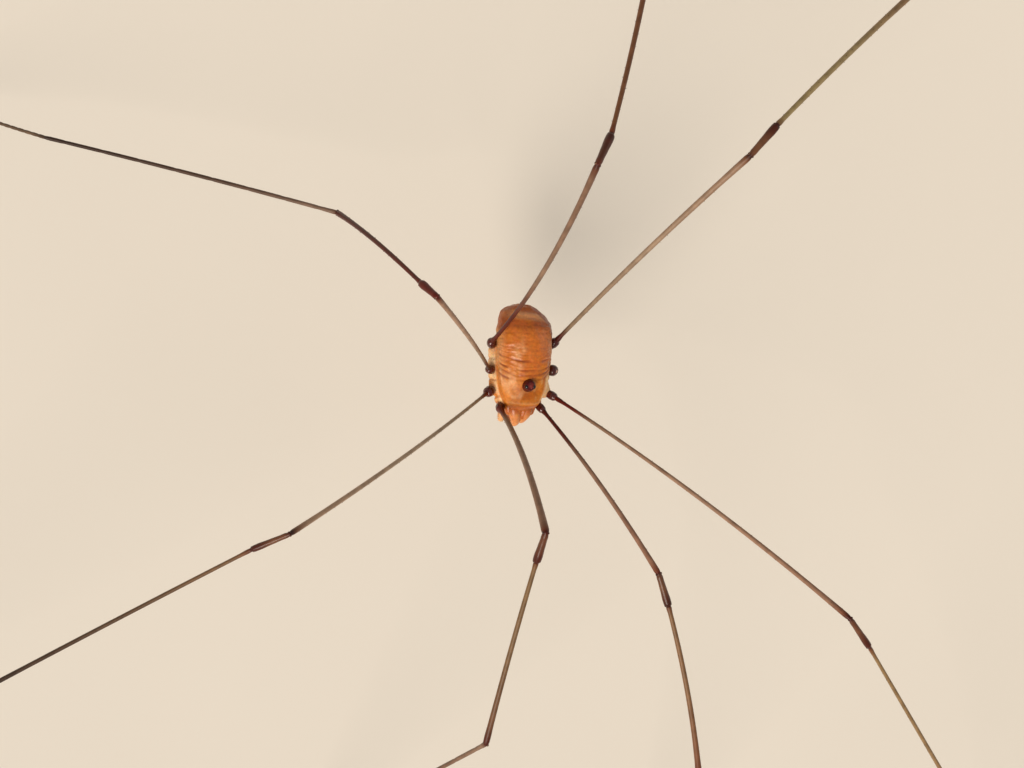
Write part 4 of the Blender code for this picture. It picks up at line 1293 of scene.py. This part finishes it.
# %% Jaws
JAW = ((0.30, -1.72, 0.02), (0.32, -2.05, 0.06), (0.26, -2.42, 0.02), (0.17, -2.76, -0.18),
       (0.20, -2.84, -0.56), (0.22, -2.76, -0.92), (0.22, -2.62, -1.20), (0.20, -2.50, -1.38))
JAW_RADII = (0.29, 0.33, 0.30, 0.21, 0.21, 0.19, 0.10, 0.035)
FINGER = ((0.25, -2.78, -0.80), (0.26, -2.94, -1.05), (0.25, -2.92, -1.22), (0.22, -2.76, -1.38))
FINGER_RADII = (0.11, 0.095, 0.07, 0.025)
JAW_REACH = {LEFT: 0.86, RIGHT: 1.0}
JAW_STEPS, JAW_SIDES, FINGER_SIDES, MOUTH_DOME = 5, 20, 14, 0.6
JAW_VOXEL, JAW_SMOOTH_ROUNDS = 0.02, 6
FINGER_DARK, JAW_ROOTS, HAND_HEIGHTS = (-1.32, -1.08), (-2.55, -2.2), (-0.9, -0.2)


def limb_points(side, path, shift=0.0, reach=1.0):
    """A limb's path on one side, moved back by a shift, and drawn out or in along the body."""
    first = path[0][1]
    return [Vector((side * x, first + (y - first) * reach + shift, z)) for x, y, z in path]


def eased_radii(radii, steps):
    """Radii between the given ones, on the same kind of curve as a path."""
    return [r.x for r in curve_through([Vector((radius, 0, 0)) for radius in radii], steps)]


def limb(path, radii, sides):
    return tube(curve_through(path, JAW_STEPS), eased_radii(radii, JAW_STEPS), sides, depth=MOUTH_DOME)


def jaw_colours(piece):
    """Black at the tips of the fingers, pale on the hand and reddish at the root."""
    _, ways, heights = np.array([v.co for v in piece.data.vertices]).T
    roots = eased(*JAW_ROOTS, ways) * eased(-0.5, 0.0, heights)
    paint(piece, "back", np.maximum(0.35, 0.85 * roots))
    paint(piece, "cream", 0.15 * eased(*HAND_HEIGHTS, heights) * (1 - roots))
    paint(piece, "shade_and_dark", np.maximum(1 - eased(*FINGER_DARK, heights), 0.12 * roots))


for side in (LEFT, RIGHT):
    drawn_in = (JAW[0][1] - FINGER[0][1]) * (1 - JAW_REACH[side])
    shaft = limb(limb_points(side, JAW, 0.0, JAW_REACH[side]), JAW_RADII, JAW_SIDES)
    finger = limb(limb_points(side, FINGER, drawn_in), FINGER_RADII, FINGER_SIDES)
    jaw = melted([shaft, finger], JAW_VOXEL, JAW_SMOOTH_ROUNDS)
    jaw_colours(jaw)
    name = SIDE_NAMES[side]
    leave_bench(jaw, f"jaw_{name}", MOUTH_CUTICLE, "jaw", f"chelicera_{name}")
print("jaws:", len(JAW_REACH))

# %% Palps
PALP = ((0.70, -1.85, -0.36), (0.75, -2.15, -0.46), (0.75, -2.46, -0.56), (0.72, -2.68, -0.80),
        (0.66, -2.68, -1.12), (0.58, -2.50, -1.38), (0.50, -2.15, -1.50), (0.44, -1.80, -1.46))
PALP_RADII = (0.13, 0.135, 0.155, 0.16, 0.13, 0.14, 0.10, 0.04)
PALP_REACH = {LEFT: 0.55, RIGHT: 1.0}
PALP_JOINTS = (0.14, 0.42, 0.56, 0.76)
PALP_STEPS, PALP_SIDES = 8, 20
NECK_DEPTH, NECK_WIDTH = 0.28, 0.025
BARE_STEPS, HAIR_ROWS = 8, 6
HAIR_RADIUS, HAIR_LENGTH, HAIR_SIDES, HAIR_FOOT = 0.007, 0.09, 4, 0.95
PALP_CREAM = 0.65
for side in (LEFT, RIGHT):
    path = curve_through(limb_points(side, PALP, 0.0, PALP_REACH[side]), PALP_STEPS)
    sizes = eased_radii(PALP_RADII, PALP_STEPS)
    for k, f in enumerate(even(len(sizes) - 1)):
        sizes[k] *= 1 - NECK_DEPTH * sum(hump(joint, NECK_WIDTH, f) for joint in PALP_JOINTS)
    palp = tube(path, sizes, PALP_SIDES, depth=MOUTH_DOME)
    hairs = []
    for k in range(BARE_STEPS, len(path) - 1):
        forward = (path[k + 1] - path[k]).normalized()
        across = forward.cross(Vector((side, 0, 0.3))).normalized()
        for j in range(HAIR_ROWS):
            turn = 2 * math.pi * (j + 0.5 * (k % 2)) / HAIR_ROWS
            out = across * math.cos(turn) + forward.cross(across) * math.sin(turn)
            hairs.append((path[k] + out * sizes[k] * HAIR_FOOT, (out + forward).normalized(), 1.0))
    palp = join([palp, scattered(spine(HAIR_RADIUS, HAIR_LENGTH, HAIR_SIDES), hairs)])
    heights = np.array([v.co.z for v in palp.data.vertices])
    paint(palp, "back", 0.2 * eased(0.9, 1.3, -heights))
    paint(palp, "cream", [PALP_CREAM] * len(heights))
    paint(palp, "shade_and_dark", [0.0] * len(heights))
    name = SIDE_NAMES[side]
    leave_bench(palp, f"palp_{name}", MOUTH_CUTICLE, "palp", f"pedipalp_{name}")
print("palps:", len(PALP_REACH))

# %% [markdown]
# ## Floor and light
#
# A plain pale card lies under the animal, with a faint tooth so that its shadows look soft and real.
# The main light comes from beside the head, low enough to raise the folds of the back. It is a sun as
# wide as a big soft box, so that the card is lit evenly all over. A pale sky fills the shadows.

# %% The floor
FLOOR_RADIUS, FLOOR_SIDES = 2.5, 96
FIBRE_SIZE = 25


def pale_card():
    made, tree, shader = begin("matt_pale_card")
    place = add(tree, "ShaderNodeTexCoord", {}).outputs["Object"]
    fibres = add(tree, "ShaderNodeTexNoise", {"Vector": place, "Scale": per_mm(FIBRE_SIZE), "Detail": 2.0})
    tone = add(tree, "ShaderNodeMix", {"Factor": fibres.outputs["Fac"], MIX_A: linear("#DCD4C8"),
                                       MIX_B: linear("#E2DACE")}, data_type="RGBA")
    feed(tree, shader, {"Base Color": tone.outputs[MIX_RESULT], "Roughness": 0.85})
    return made


deselect()
bpy.ops.mesh.primitive_circle_add(vertices=FLOOR_SIDES, radius=FLOOR_RADIUS, fill_type="NGON")
floor = bpy.context.object
floor.name = "floor"
floor.data.materials.append(pale_card())
floor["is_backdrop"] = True

# %% The light
# Each sun's name, azimuth, elevation and spread in degrees, strength and colour.
LAMPS = (
    ("key", -42, 42, 36, 3.3, "#FFF5E8"),
    ("fill", 104, 26, 40, 0.3, "#FFF8EE"),
)
for name, azimuth, elevation, spread, strength, code in LAMPS:
    bpy.ops.object.light_add(type="SUN")
    lamp = bpy.context.object
    lamp.name = name
    lamp.rotation_mode = "QUATERNION"
    lamp.rotation_quaternion = (-direction(azimuth, elevation)).to_track_quat("-Z", "Y")
    lamp.data.angle = math.radians(spread)
    lamp.data.energy = strength
    lamp.data.color = linear(code)[:3]

SKY_STRENGTH = 0.4
sky = bpy.data.worlds.new("pale_sky")
sky.use_nodes = True
feed(sky.node_tree, sky.node_tree.nodes["Background"],
     {"Color": linear("#EFEDEA"), "Strength": SKY_STRENGTH})
bpy.context.scene.world = sky
bpy.context.scene.view_settings.view_transform = "Standard"

# %% [markdown]
# ## Checking the size
#
# The dressed animal must not outgrow its solids.

# %% Both boxes and the end
shown_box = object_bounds()
sizes_mm = {name: [round(c / MM, 2) for c in high - low]
            for name, (low, high) in (("solids", cad_box), ("dressed", shown_box))}
print("boxes, in mm:", sizes_mm)
